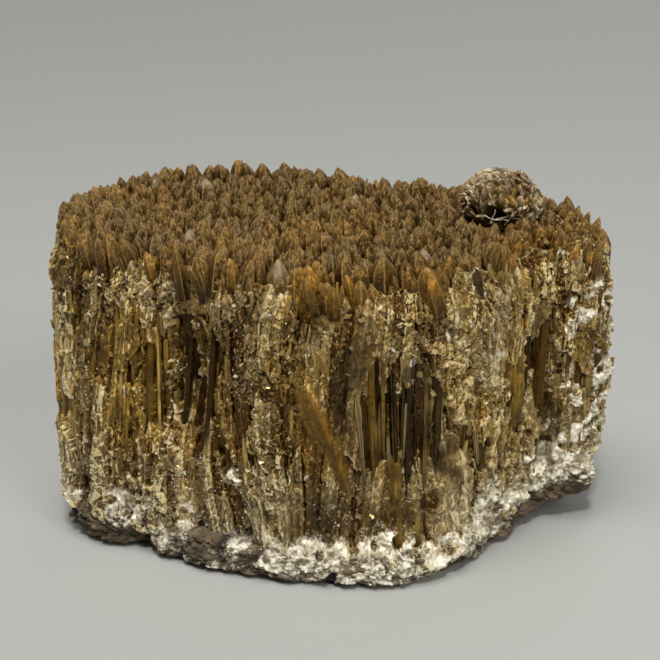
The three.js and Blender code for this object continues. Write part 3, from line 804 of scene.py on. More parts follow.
def scales(name, owner, low, high):
    """Tiny crystals on big ones. At `down` mm below the owner's tip, the owner is as wide as its profile
    says, and the scale stands there, its axis drawn in a little towards the owner's own."""
    total = len(owner)
    down = rng.uniform(low, high, total)
    span = np.linalg.norm(column_feet[owner] - column_tips[owner], axis=1)
    axis = unit(column_feet[owner] - column_tips[owner])
    wide = radius[owner] * np.interp(down / span, np.append(0, BULLET[:, 0]), np.append(0, BULLET[:, 1]))
    turn = rng.random(total) * 2 * np.pi
    aside = unit(np.column_stack([np.cos(turn), np.sin(turn), np.zeros(total)]))
    foot = column_tips[owner] + axis * down[:, None] + aside * (0.72 * wide)[:, None]
    tips = foot - unit(axis + 0.12 * aside) * rng.uniform(1.4, 2.6, total)[:, None]
    return crystals(name, tips, foot + axis * 1.4, rng.uniform(0.4, 1.0, total),
                    carpet_marks(foot[:, :2], PALE_SHARE), profile=SCALE)


shoulder_scales = scales("scales", rng.integers(0, count, SCALE_COUNT), 2.0, 8.0)

# %% [markdown]
# Below the grooves the crystals have grown together. That ground is a bowl-shaped skin just under the
# groove level. It is a polar grid: one parameter goes round the rim, the other from the middle out to the
# rim and then down as a skirt behind the top of the broken side, so that no gap shows between them.

# %% The ground of the carpet
BED_DEPTH, BED_INSET, SKIRT = 10.0, 3.2, 9.0


def carpet_bed(across=340, up=38):
    """Ground of the carpet. The radius share runs from 0.02 to 1 over the first rows, and the last three
    rows go straight down. Height: the points' height, less the bed's depth, with small hills."""
    around, row = np.meshgrid(np.arange(across) / across, np.arange(up), indexing="ij")
    share = np.clip(row / (up - 4), 0.02, 1)
    edge = loop_curve(RIM, curve_share(around))[0]
    edge = edge - BED_INSET * unit(edge - HEART)
    flat = HEART + (edge - HEART) * share[..., None]
    down = SKIRT * np.clip(row - (up - 4), 0, None) / 3
    level = tip_height(flat) - knob_drop(flat)
    spots = np.concatenate([flat, level[..., None]], axis=-1)
    hills = 1.3 * smooth_noise(spots, 3.6, 620) + 0.6 * smooth_noise(spots, 1.7, 621)
    spots[..., 2] += hills - BED_DEPTH - down
    return spots


def ring_shell(name, points, marks, first_hub, last_hub, turned=False, **settings):
    """A closed body from a grid (across, up, 3) that goes all the way round: each end row gets its hub."""
    across, up = points.shape[:2]
    i, j = np.meshgrid(np.arange(across), np.arange(up - 1), indexing="ij")
    here, there = (i * up + j).ravel(), ((i + 1) % across * up + j).ravel()
    k = np.arange(across)
    then, hubs = (k + 1) % across, across * up + np.array([0, 1])
    faces = [np.stack([here, there, there + 1, here + 1], axis=1),
             np.stack([k * up, 0 * k + hubs[0], then * up], axis=1),
             np.stack([then * up + up - 1, 0 * k + hubs[1], k * up + up - 1], axis=1)]
    if turned:
        faces = [part[:, ::-1] for part in faces]
    flat = np.concatenate([points.reshape(-1, 3), [first_hub], [last_hub]])
    marks = {mark: np.append(values.ravel(), [0.0, 0.0]) for mark, values in marks.items()}
    return make_piece(name, flat, faces, marks, **settings)


bed = carpet_bed()
# A depth of 10 mm gives the ground the deepest painted shade of the grooves
bed_marks = {"tint": 0.5 + 0.5 * smooth_noise(bed, 4, 622), "gold": 0.7 + 0 * bed[..., 0],
             "pale": 0 * bed[..., 0], "depth": 10 + 0 * bed[..., 0]}
bed_top = np.array([*HEART, float(np.mean(bed[:, 0, 2]))])
carpet_ground = ring_shell("points_ground", bed, bed_marks, bed_top, HUB, turned=True)

# %% [markdown]
# The block stands on a rind of host rock, a few millimetres to a centimetre thick, lumpy and pitted, with
# white crust growing up from its upper edge. Its skin starts inside the block above the seam, comes out,
# runs down the side, turns under, and ends in the middle of the underside, which is nearly flat.

# %% The rock foot
FOOT_ROUND, FOOT_ROWS, UNDER_ROWS = 820, 46, 10
FOOT_TOP = 3.0  # how far the rock reaches above the seam before it turns in
FOOT_GAP = 9.5  # the smooth wall under the rock ends this far below the points


def foot_skin():
    """Skin of the rock foot. Down the side, the outward move is lumps and facets, less pits, one notch and
    the rounding at both ends: 7 mm in at the hidden top and 2.6 mm in at the bottom edge. Then the rows
    close in on the middle. Returns the points, each facet's own number and how deep in a pit a point is."""
    around, v = np.meshgrid(np.arange(FOOT_ROUND) / FOOT_ROUND, np.linspace(1, 0, FOOT_ROWS), indexing="ij")
    base = smooth_wall(around, np.zeros_like(v), FOOT_GAP)[0]
    low = foot_height(base[..., 0])
    high = seam_height(base) + FOOT_TOP + 1.5 * smooth_noise(base, 8, 640)
    height = low + (high - low) * v
    top = tip_height(base) - FOOT_GAP
    points, out = smooth_wall(around, (height - low) / (top - low), FOOT_GAP)
    middle = fade(v, 0.0, 0.12) * (1 - fade(v, 0.80, 1.0))
    beds = points * [0.7, 0.7, 1.3]
    lumps = 1.6 * layered_noise(points, 11, 650) + 1.3 * facets(beds, 4.0, 660)[0]
    lumps += 5.5 * np.exp(-((points[..., 0] + 34) / 22) ** 2) * (points[..., 1] < 60)
    lumps += 3.5 * np.exp(-((points[..., 0] - 76) / 12) ** 2) * (points[..., 1] < 66)
    small_lumps, grain = facets(beds, 1.5, 670)
    pits = 1.6 * fade(smooth_noise(points, 4.2, 680), 0.42, 0.75)
    notch = 4.5 * np.exp(-((points[..., 0] + 58) / 4.5) ** 2 - ((points[..., 2] - 2) / 5) ** 2)
    notch *= points[..., 1] < 60
    relief = middle * (lumps + 0.75 * small_lumps - pits) - notch
    relief += -2.6 * (1 - fade(v, 0, 0.16)) - 7.0 * fade(v, 0.72, 1.0)
    side = points + out * relief[..., None]
    edge = side[:, -1:]
    share = np.linspace(1, 0.04, UNDER_ROWS + 1)[1:][None, :, None]
    inwards = HEART + (edge[..., :2] - HEART) * share
    under = np.concatenate([inwards, np.repeat(edge[..., 2:], UNDER_ROWS, 1)], -1)
    bumps = 0.7 + 0.7 * smooth_noise(under * [1, 1, 0], 9, 690)
    under[..., 2] = foot_height(under[..., 0]) + bumps * (1 - fade(share[..., 0], 0.9, 1.0))
    skin = np.concatenate([side, under], axis=1)
    all_grain = np.concatenate([grain, scramble(np.floor(under / 3).astype(np.int64), 691)], axis=1)
    return skin, all_grain, np.concatenate([pits, 0 * under[..., 0]], axis=1)


foot_points, foot_grain, foot_pits = foot_skin()
foot_marks = {"crust": crust_weight(foot_points + [0, 0, 0.5]), "tint": foot_grain, "pit": foot_pits}
rock_foot = ring_shell("rock_foot", foot_points, foot_marks, HUB - [0, 0, 30], np.array([*HEART, 0.4]),
                       turned=True, smooth=False, slot="host_rock")


# %% [markdown]
# Loose-looking grains give the broken sides their sparkle. A grain is a chip of eight faces: two uneven
# pyramids, base to base, with every corner moved a little, turned at random and half sunk in the surface.
# We throw candidates at the wall and keep each one with a chance that depends on where it landed.

# %% Grains of broken calcite
CHIP = np.array([(1, 0, 0), (-1, 0, 0), (0, 1, 0), (0, -1, 0), (0, 0, 1), (0, 0, -1)]) * 0.62
CHIP_FACES = np.array([(0, 2, 4), (2, 1, 4), (1, 3, 4), (3, 0, 4),
                       (2, 0, 5), (1, 2, 5), (3, 1, 5), (0, 3, 5)])


def random_turns(count):
    """Random turns as matrices, from random unit quaternions."""
    w, x, y, z = unit(rng.normal(size=(count, 4))).T
    return np.stack([
        np.stack([1 - 2 * (y * y + z * z), 2 * (x * y - w * z), 2 * (x * z + w * y)], -1),
        np.stack([2 * (x * y + w * z), 1 - 2 * (x * x + z * z), 2 * (y * z - w * x)], -1),
        np.stack([2 * (x * z - w * y), 2 * (y * z + w * x), 1 - 2 * (x * x + y * y)], -1)], axis=1)


def grains(name, centres, sizes, marks, uneven=0.22, thin=1.0, **settings):
    """A chip round each centre: its corners are moved at random, stretched, scaled and turned. With thin
    below 1 the chips are flakes."""
    count = len(centres)
    corners = CHIP + uneven * rng.uniform(-1, 1, (count, len(CHIP), 3))
    corners *= sizes[:, None, None] * rng.uniform(0.45, 1.35, (count, 1, 3)) * [1, 1, thin]
    corners = np.einsum("nij,nkj->nki", random_turns(count), corners)
    points = (centres[:, None] + corners).reshape(-1, 3)
    faces = (np.arange(count)[:, None, None] * len(CHIP) + CHIP_FACES).reshape(-1, 3)
    marks = {mark: np.repeat(values, len(CHIP)) for mark, values in marks.items()}
    return make_piece(name, points, [faces], marks, smooth=False, **settings)


def throw(tries, chance, start=0.0, end=1.0):
    """Random places on the broken side, kept with the chance that the given function works out for them.
    Returns the points on the finished surface, the outward direction and the surface's marks."""
    around, share = rng.uniform(start, end, tries), rng.uniform(0.06, 0.99, tries)
    points = smooth_wall(around, share, wall_top(around))[0]
    kept = rng.random(tries) < chance(points)
    return wall_surface(around[kept], share[kept])


print("faces of one chip:", len(CHIP_FACES))

# %% [markdown]
# Each kind of grain has its own places: sugar in clumps, thin flakes where smooth stretches end, and tiny
# sparkling grains in the hollows. Such places could be painted by hand, but a function that turns a point
# into a chance serves any number of grains, and it reads the same patches that shape the wall.

# %% Where the grains land
def sugar_chance(points):
    """Sugary stretches have many grains, smooth dark columns few, and clumps alternate with bare places."""
    clump = fade(layered_noise(points, 8, 700), 0.0, 0.6)
    patches = 0.95 * patch_weight("sugary", points) * fade(layered_noise(points, 4, 705), -0.7, 0.3)
    many = np.clip(0.55 * clump + patches, 0, 1)
    allowed = (1 - blade_rib(points)[1]) * (1 - 0.96 * patch_weight("dark", points))
    allowed = allowed * (1 - 0.8 * patch_weight("fibrous", points))
    return allowed * (0.012 + 0.988 * many)


def grain_marks(marks, count, crust=None):
    """Marks for grains: those of the surface below, with a tint and gloss of their own."""
    tint = np.where(rng.random(count) < 0.06, 0.95, 0.2 + 0.5 * rng.random(count))
    # proud, here at random, sets how much painted highlight the finish puts on a white grain
    return {"dark": 0.6 * marks["dark"], "gold": marks["gold"], "lump": rng.random(count),
            "tone": marks["tone"], "crust": marks["crust"] if crust is None else crust, "tint": tint,
            "gloss": 0.7 * rng.random(count), "proud": 0.6 + 0.4 * rng.random(count), "veil": marks["veil"]}


def flake_chance(points):
    """Thin bright-edged flakes stick out where smooth stretches end."""
    smooth = patch_weight("dark", points)
    return 0.9 * smooth * (1 - smooth) + 0.12 * fade(layered_noise(points, 6, 708), 0, 0.6) * (1 - smooth)


SPARKLES = np.array([24.0, 0.0, 64.0])  # the middle of a streak of tiny white sparkles on the dark columns
STREAK_SIZE = [4, 20, 15]  # and how far it reaches along x, y and z


def sparkle_chance(points):
    """Tiny bright grains: a few all over, some in the dark hollows, many in one upright streak."""
    streak = np.exp(-np.sum(((points - SPARKLES) / STREAK_SIZE) ** 2, axis=-1))
    streak = streak * fade(layered_noise(points, 4, 714), -0.5, 0.3)
    some = (1 - blade_rib(points)[1]) * fade(layered_noise(points, 5, 716), 0, 0.6)
    hidden = 0.35 * patch_weight("dark", points) * fade(layered_noise(points, 6, 712), 0, 0.6)
    return hidden + 2.5 * streak + 0.20 * some


print("chance of sugar at one spot:", sugar_chance(spot[None]).round(3))

# %% [markdown]
# A size is a random number raised to a power, which gives many small grains and a few large ones. Sugar
# sinks a little into the surface and looks grown on, and flakes stand off it and look loose. The lobe of
# the carpet at the right gets sugar of its own, between its points.

# %% The grains
FLAKE_TRIES, WHITE_TRIES, SPARKLE_TRIES, LOBE_TRIES = 9000, 15000, 16000, 2600
sugar_grains = []
SUGAR_THROWS = (("sugar_front", 0.0, FRONT_END, 34000), ("sugar_back", FRONT_END, 1.0, 20000))
for name, start, end, tries in SUGAR_THROWS:
    spots, out, marks = throw(tries, sugar_chance, start, end)
    size = 0.5 + 1.5 * rng.random(len(spots)) ** 2.2
    sunk = spots - 0.28 * out * size[:, None]
    sugar_grains.append(grains(name, sunk, size, grain_marks(marks, len(spots))))
spots, out, marks = throw(FLAKE_TRIES, flake_chance)
size = 0.6 + 1.5 * rng.random(len(spots)) ** 2
flake_marks = {**grain_marks(marks, len(spots)), "tint": 0.3 + 0.5 * rng.random(len(spots))}
sugar_grains.append(grains("flakes", spots + 0.25 * out * size[:, None], size, flake_marks, thin=0.2))
spots, out, marks = throw(WHITE_TRIES, lambda points: crust_weight(points) ** 1.5)
size = 0.22 + 0.55 * rng.random(len(spots)) ** 3
white = grain_marks(marks, len(spots), crust=0.35 + 0.65 * rng.random(len(spots)))
white_grains = grains("white_grains", spots + 0.2 * out * size[:, None], size, white, slot="white_crust")
spots, out, marks = throw(SPARKLE_TRIES, sparkle_chance)
size = 0.2 + 0.4 * rng.random(len(spots)) ** 3
lobe = rng.uniform((60, 42), (90, 92), (LOBE_TRIES, 2))
landed = rng.random(LOBE_TRIES) < fade(lobe[:, 0], 62, 84)
lobe = lobe[inside_rim(lobe + 1.5 * unit(lobe - HEART)) & landed]
lobe_z = tip_height(lobe) - rng.uniform(3.0, 8.0, len(lobe))
lobe_marks = {"dark": 0 * lobe_z, "gold": 0.5 * rng.random(len(lobe)), "tone": rng.random(len(lobe)),
              "veil": 0.3 + 0 * lobe_z, "tint": rng.random(len(lobe)) ** 1.5}
lobe_size = rng.uniform(0.6, 1.7, len(lobe))
sugar_grains.append(grains("lobe_sugar", np.column_stack([lobe, lobe_z]), lobe_size, lobe_marks))
# A high tint, so that the finish paints these tiny grains nearly white as glints
sparkle_marks = {**grain_marks(marks, len(spots)), "tint": 0.75 + 0.25 * rng.random(len(spots)),
                 "dark": 0 * size}
sugar_grains.append(grains("dark_sparkles", spots + 0.2 * out * size[:, None], size, sparkle_marks))

# %% [markdown]
# Splinters are lengths of column that stand off the broken face: upright, slightly leaning, snapped at one
# or both ends. They're made with the crystal profile too, only blunt at the top and thinner.

# %% Splinters on the broken sides
SPLINTER = np.array([(0.004, 0.55), (0.03, 0.85), (0.35, 1.0), (0.7, 0.92), (0.985, 0.7)])


def splinter_chance(points):
    """Splinters come in clumps, and avoid the blade, the dark columns and the crust at the foot."""
    clump = fade(layered_noise(points, 11, 720), -0.3, 0.7)
    above = points[..., 2] - seam_height(points)
    allowed = (1 - blade_rib(points)[1]) * (1 - patch_weight("dark", points)) ** 2
    return allowed * fade(above, 4, 14) * (0.08 + 0.92 * clump)


def splinters(name, tries, start, end):
    """Upright splinters: the tip is above the thrown place, the foot below it and a little deeper."""
    spots, out, marks = throw(tries, splinter_chance, start, end)
    count = len(spots)
    long = 2.0 + 10 * rng.random(count) ** 2.2
    thick = rng.uniform(0.3, 0.85, count) * (0.6 + 0.06 * long)
    across = unit(np.cross(out, [0, 0, 1.0]))
    lean = 0.13 * rng.normal(size=count)
    forwards = out * rng.uniform(-0.04, 0.10, count)[:, None]
    way = unit(np.array([0, 0, 1.0]) + across * lean[:, None] + forwards)
    tips = spots + way * (0.5 * long)[:, None]
    roof = tip_height(spots) - 5
    tips[:, 2] = np.minimum(tips[:, 2], roof)
    foot = tips - way * long[:, None]
    tips, foot = tips - out * (0.35 * thick)[:, None], foot - out * (0.8 * thick)[:, None]
    kept = {"dark": marks["dark"], "gold": marks["gold"], "tone": marks["tone"], "veil": marks["veil"],
            "tint": rng.random(count)}
    return crystals(name, tips, foot, thick, kept, profile=SPLINTER, flat=0.7, rough=0.25, wobble=0.14)


splinter_front = splinters("splinters_front", 2600, 0.0, FRONT_END)
splinter_back = splinters("splinters_back", 1800, FRONT_END, 1.0)

# %% [markdown]
# In the hollows whole columns stand free: smooth six-sided pillars with crisp edges, near black where they
# are thick and honey where they are thin. The groups in the hollows are the darkest, and their dark is
# partly painted shade of the hollows. We name each group by its place, and stand the columns along the
# wall there, each a bit more or less sunk in, some snapped off lower than others.

# %% Long columns in the hollows
PILLAR = np.array([(0.002, 0.72), (0.012, 0.94), (0.25, 1.0), (0.6, 0.97), (1.0, 0.9)])
WALL_FOOT, WALL_SPAN, COLUMN_GAP = 4, 84, 8.5  # the smooth wall's foot, its height, and its gap at the top
COLUMN_GROUPS = {  # place, half width along the wall, bottom and top, radii, how dark, how golden, how many
    # The groups in the hollows are darkest: the columns' own dark, and painted shade of the hollows
    "front hollow, left": ((10, -2), 5, (26, 88), (1.2, 2.6), 1.0, 0.1, 7),
    "front hollow, gold": ((14, -1), 4, (28, 86), (0.5, 1.1), 0.6, 0.7, 5),
    "front hollow, right": ((24, 0), 9, (24, 74), (1.0, 2.4), 1.0, 0.1, 9),
    "front, thin": ((24, 0), 11, (22, 60), (0.3, 0.6), 0.5, 0.6, 10),
    "front, short": ((20, -1), 8, (14, 40), (0.8, 1.7), 0.35, 0.7, 14),
    "left hollow": ((-41, 13), 6, (38, 80), (0.9, 2.2), 1.0, 0.0, 6),
    "left fibres": ((-60, 23), 14, (26, 84), (0.4, 1.0), 0.2, 0.5, 12),
    "left edge": ((-81, 42), 10, (22, 88), (0.5, 1.4), 0.1, 0.8, 12),
    "middle": ((-20, 5), 11, (26, 76), (0.5, 1.3), 0.2, 0.4, 12),
    "right of the hollow": ((40, 10), 8, (28, 76), (0.6, 1.5), 0.3, 0.5, 12),
    "right pillar": ((54, 27), 5, (36, 78), (1.2, 2.8), 0.05, 0.85, 9),
    "right hollow": ((64, 41), 6, (30, 80), (1.2, 2.8), 0.75, 0.2, 12),
    "right lobe": ((80, 42), 8, (24, 78), (1.0, 2.4), 0.5, 0.5, 16),
    "right side": ((88, 66), 16, (24, 78), (0.7, 1.9), 0.5, 0.5, 30),
    "back right": ((62, 104), 20, (18, 84), (0.9, 2.8), 0.4, 0.4, 40),
    "back hollow": ((4, 122), 12, (22, 82), (1.4, 3.4), 0.95, 0.0, 18),
    "back left": ((-58, 124), 18, (18, 80), (0.9, 2.8), 0.5, 0.5, 34),
    "left side": ((-87, 86), 18, (20, 80), (0.9, 2.6), 0.4, 0.6, 34),
}


def pillars(name):
    """Columns on the wall: the foot and the tip lie on the smooth wall at their own heights, moved into the
    block by a part of the radius. Heights are drawn from the group's range, tall ones more often than short
    ones. A height becomes a share of the wall as (height - WALL_FOOT) / WALL_SPAN."""
    rows = []
    for (at, half, (low, high), (thin, thick), dark, gold, many) in COLUMN_GROUPS.values():
        middle = np.argmin(np.linalg.norm(wall_line - at, axis=1)) / len(wall_line)
        along = middle + rng.uniform(-half, half, many) / GIRTH
        size = rng.uniform(thin, thick, many)
        bottom = low + 0.45 * (high - low) * rng.random(many) ** 1.5
        top = high - 0.55 * (high - low) * rng.random(many) ** 1.3
        darks = np.clip(dark + rng.normal(0, 0.12, many), 0, 1)
        golds = np.clip(gold + rng.normal(0, 0.2, many), 0, 1)
        rows.append(np.column_stack([along, size, bottom, top, darks, golds]))
    along, size, bottom, top, dark, gold = np.concatenate(rows).T
    ends = []
    for height in (top, bottom):
        spots, out = smooth_wall(along, (height - WALL_FOOT) / WALL_SPAN, COLUMN_GAP)
        sunk = size * rng.uniform(0.35, 0.95, len(size))
        ends.append(spots - out * sunk[:, None])
    lean = rng.normal(0, 0.5, len(size))[:, None] * np.cross(out, [0, 0, 1.0])
    marks = {"dark": dark, "gold": gold, "tint": rng.random(len(size)), "tone": rng.random(len(size)),
             "veil": 0 * dark}
    return crystals(name, ends[0] + lean, ends[1] - lean, size, marks, profile=PILLAR, flat=0.75, rough=0.2,
                    wobble=0.06)


wall_line = loop_curve(RIM, curve_share(np.arange(2000) / 2000))[0]
long_columns = pillars("long_columns")

# %% [markdown]
# At the back right a knob of pale crystals sits in the carpet like a bun. Its core is a lumpy ball with a
# hollow bitten out of the lower front, painted dark as painted shade. Small leaf-shaped crystals cover the
# rest, leaning up and outwards, and a few pale threads of mineral hang across the hollow.

# %% The knob
KNOB_FULL = 0.86  # the core leaves this much of the knob's radii to itself, and the rest to the leaves
KNOB_BITES = {"mouth": ((-0.15, -0.85, -0.42), 0.42, 0.30), "upper right": ((0.45, -0.72, 0.30), 0.20, 0.14),
              "left end": ((-0.80, -0.50, -0.28), 0.20, 0.12), "back": ((0.2, 0.9, -0.2), 0.3, 0.2)}


def knob_radius(ways):
    """Distance from the knob's middle, as a share of its radii, along unit ways, and how deep in a bite each
    one is: KNOB_FULL with small hills, less a bell for each bite."""
    hills = 0.05 * smooth_noise(ways, 0.35, 740) + 0.03 * smooth_noise(ways, 0.15, 741)
    bite = sum(deep * np.exp(-np.sum((ways - unit(np.array(at))) ** 2, axis=-1) / wide**2)
               for at, wide, deep in KNOB_BITES.values())
    return KNOB_FULL + hills - bite, np.clip(bite * 5, 0, 1)


turn, rise = np.meshgrid(np.arange(96) / 96 * 2 * np.pi, np.linspace(-1.45, 1.45, 48), indexing="ij")
ways = np.stack([np.cos(rise) * np.cos(turn), np.cos(rise) * np.sin(turn), np.sin(rise)], axis=-1)
reach, bite = knob_radius(ways)
core = KNOB_AT + KNOB_RADII * ways * reach[..., None]
# The core's dark mark is the bite: the hollows are painted dark, as painted shade
core_marks = {"dark": bite, "gold": 0 * bite, "crust": 0.1 + 0 * bite, "proud": 0.4 + 0 * bite,
              "tone": 0.5 + 0 * bite, "veil": 0 * bite, "tint": 0.5 + 0.5 * smooth_noise(core, 1, 742),
              "gloss": 0 * bite, "lump": 0.5 + 0 * bite}
pole = np.array([0, 0, KNOB_FULL * KNOB_RADII[2]])
knob_core = ring_shell("knob_core", core, core_marks, KNOB_AT - pole, KNOB_AT + pole)

# %% [markdown]
# The leaves are flat crystals. Each grows from the core along a mix of three ways, outwards, upwards and a
# swirl that neighbours share, so that they overlap like feathers. The tips are then held inside the knob's
# own ball, because a leaf that sticks out would spoil the bun.

# %% Leaves of the knob
LEAF = np.array([(0.04, 0.16), (0.16, 0.52), (0.36, 0.90), (0.60, 1.0), (0.90, 0.75)])
LEAF_TRIES, LEAF_COUNT = 900, 330
spots = unit(rng.normal(size=(LEAF_TRIES, 3)))
spots = spots[(spots[:, 2] > -0.62) & (knob_radius(spots)[1] < 0.5)][:LEAF_COUNT]
reach, bite = knob_radius(spots)
base = KNOB_AT + KNOB_RADII * spots * (reach - 0.06)[:, None]
swirl = np.stack([smooth_noise(spots, 0.9, 760 + axis) for axis in range(3)], axis=-1)
grow = unit(0.7 * spots + np.array([-0.35, 0.0, 0.5]) + 1.6 * swirl + 0.5 * rng.normal(size=spots.shape))
grow = unit(grow + spots * np.clip(0.15 - np.sum(grow * spots, axis=1), 0, None)[:, None])
leaf_long = rng.uniform(3.0, 8.0, len(spots))
leaf_tips = base + grow * leaf_long[:, None]
over = np.linalg.norm((leaf_tips - KNOB_AT) / KNOB_RADII, axis=1) / 1.04
leaf_tips = KNOB_AT + (leaf_tips - KNOB_AT) / np.clip(over, 1, None)[:, None]
roof = KNOB_AT[2] + 0.95 * KNOB_RADII[2] - rng.uniform(0, 1.5, len(spots))
leaf_tips[:, 2] = np.minimum(leaf_tips[:, 2], roof)
leaf_marks = {"tint": rng.random(len(spots)), "gold": 0.3 * rng.random(len(spots)),
              "pale": rng.random(len(spots)), "hollow": bite}
leaf_size = 0.7 + 1.3 * rng.random(len(spots)) ** 1.5
knob_leaves = crystals("knob_leaves", leaf_tips, base - 0.6 * grow, leaf_size, leaf_marks, profile=LEAF,
                       flat=0.45, rough=0.2)

# %% [markdown]
# The threads hang in front of the mouth. A thread is a tube along a path: a curve with a bevel would do as
# well, but the tube made here is a closed mesh at once, and it carries the marks for the finish.

# %% Threads of the knob
def thread(start, end, sag, thick, rows=14):
    """A thread from start to end: a parabola that hangs by sag in its middle, with a six-sided section."""
    t = np.linspace(0, 1, rows)[:, None]
    path = start * (1 - t) + end * t - np.array([0, 0, 4 * sag]) * t * (1 - t)
    path += 0.35 * np.stack([smooth_noise(path + 10 * axis, 1.5, 750 + axis) for axis in range(3)], axis=-1)
    along = unit(np.gradient(path, axis=0))
    level = unit(np.cross(along, [0.1, 0.2, 1.0]))
    beside = np.cross(along, level)
    k = np.arange(6)[:, None, None] / 6 * 2 * np.pi
    ring = path[None] + thick * (np.cos(k) * level[None] + np.sin(k) * beside[None])
    return ring, path[0], path[-1]


THREADS = [  # where a thread starts and ends, as ways from the knob's middle, its sag and its thickness (mm)
    ((-0.52, -0.72, -0.30), (0.12, -0.90, -0.42), 0.5, 0.22),
    ((-0.20, -0.82, -0.40), (0.40, -0.85, -0.10), 0.4, 0.26),
    ((-0.22, -0.84, -0.08), (-0.36, -0.74, -0.55), 0.2, 0.18),
    ((0.22, -0.86, -0.16), (0.02, -0.80, -0.60), 0.2, 0.16),
]
THREAD_MARKS = {"proud": 0.6, "tone": 0.5, "veil": 0.5, "dark": 0.2, "gold": 0.0, "crust": 0.4, "tint": 0.6,
                "gloss": 0.0, "lump": 0.5}
threads = []
for number, (start, end, sag, thick) in enumerate(THREADS):
    ends = [KNOB_AT + KNOB_RADII * np.array(way) * 0.92 for way in (start, end)]
    ring, first, last = thread(*ends, sag, thick)
    marks = {key: np.full(ring.shape[:2], value) for key, value in THREAD_MARKS.items()}
    threads.append(ring_shell(f"knob_thread_{number}", ring, marks, first, last, slot="white_crust"))

# %% [markdown]
# A few single crystals stand clear of the front: a slim one with a thick head, two splinters and a pale
# needle. Light goes through these, so they get the glassy finish later on. A short stub between them is
# honey like the long columns behind it. Each is one crystal of the same helper, placed by its two ends.

# %% Single crystals
CLUB = np.array([(0.03, 0.45), (0.09, 0.95), (0.15, 1.15), (0.24, 1.0), (0.34, 0.62), (0.6, 0.55),
                 (1.0, 0.48)])
SINGLES = {  # tip, foot, radius, flatness, profile
    "slim_crystal": ((7.4, -4.4, 59), (10.2, -1.6, 31), 1.15, 0.8, CLUB),
    "right_splinter": ((42.2, 8.4, 44), (43.5, 12, 32), 0.7, 0.6, SPLINTER),
    "front_splinter": ((16.5, -2.4, 46), (17.3, 0.0, 33), 0.5, 0.7, SPLINTER),
    "white_needle": ((21.5, -1.6, 56), (21.0, 0.4, 38), 0.4, 0.7, SPLINTER),
}


def one_crystal(name, tip, foot, thick, flat, profile, **marks):
    """One crystal from its tip to its foot, thin from front to back."""
    given = {"tint": 0.5, "tone": 0.6, "veil": 0.0, **marks}
    return crystals(name, np.array([tip], float), np.array([foot], float), np.array([thick]),
                    {key: np.array([value]) for key, value in given.items()}, profile=profile, flat=flat,
                    rough=0.12, thin=np.array([0.0, -1.0, 0.0]))


singles = [one_crystal(name, *row) for name, row in SINGLES.items()]
front_stub = one_crystal("front_stub", (18.6, -2.0, 38), (19.2, -0.4, 26), 1.7, 0.6, SPLINTER, dark=0.3,
                         gold=0.7)

# %% [markdown]
# ## Finishes
# Every finish is built from nodes. This helper adds one node, sets its options, and fills its sockets: a
# socket of another node is linked, and anything else is set as a value.

# %% A helper for nodes
def add(tree, kind, inputs=None, **options):
    """Adds a node of a kind to a tree. options are the node's own settings, and inputs fill its sockets."""
    made = tree.nodes.new(kind)
    for option, value in options.items():
        setattr(made, option, value)
    for socket, value in (inputs or {}).items():
        if isinstance(value, bpy.types.NodeSocket):
            tree.links.new(value, made.inputs[socket])
        else:
            made.inputs[socket].default_value = value
    return made


def finish(name):
    """A new material with an empty tree: returns the material, its tree and its output node."""
    material = bpy.data.materials.new(name)
    material.use_nodes = True
    tree = material.node_tree
    tree.nodes.clear()
    return material, tree, add(tree, "ShaderNodeOutputMaterial")


def marks_on(tree, names):
    """The sockets of numbers that are stored on the points, for names with spaces between them."""
    return [add(tree, "ShaderNodeAttribute", attribute_name=name).outputs["Fac"] for name in names.split()]


def colour(red, green, blue):
    """A colour given from 0 to 255, as seen on a screen, made linear for the renderer."""
    parts = np.array([red, green, blue]) / 255
    return (*np.where(parts < 0.04045, parts / 12.92, ((parts + 0.055) / 1.055) ** 2.4), 1.0)


print("node helpers are ready")

# %% [markdown]
# A finish mixes colours by numbers, and the numbers come from marks and noise through curves. The nodes
# could be wired by hand in the editor, but a call says in one line what is mixed with what.

# %% Mixing, sums and curves
def blend(tree, share, first, second, mode="MIX"):
    """Mixes two colours, or puts the second on the first in another mode, by a share from 0 to 1."""
    made = add(tree, "ShaderNodeMix", {0: share, 6: first, 7: second}, data_type="RGBA", blend_type=mode)
    return made.outputs[2]


def times(tree, first, second):
    """Multiplies two colours, or a colour by a number."""
    return blend(tree, 1.0, first, second, "MULTIPLY")


def maths(tree, operation, first, second=0.0, third=0.0, clamp=False):
    """One sum of two or three numbers."""
    made = add(tree, "ShaderNodeMath", {0: first, 1: second, 2: third}, operation=operation, use_clamp=clamp)
    return made.outputs[0]


def product(tree, first, second, **options):
    """Two numbers multiplied."""
    return maths(tree, "MULTIPLY", first, second, **options)


def ramp(tree, value, *stops):
    """A curve from a number to a number through (at, result) pairs, with straight lines between them."""
    made = add(tree, "ShaderNodeValToRGB", {"Fac": value})
    elements = made.color_ramp.elements
    while len(elements) < len(stops):
        elements.new(0.5)
    for element, (at, result) in zip(elements, stops):
        element.position, element.color = at, (result, result, result, 1)
    return made.outputs["Color"]


print("sums are ready")

# %% [markdown]
# And the patterns that crystal needs: hills of noise, tiny faces that flash, cells for inner cracks, fine
# bumps, and how far a point is from the middle of its own face.

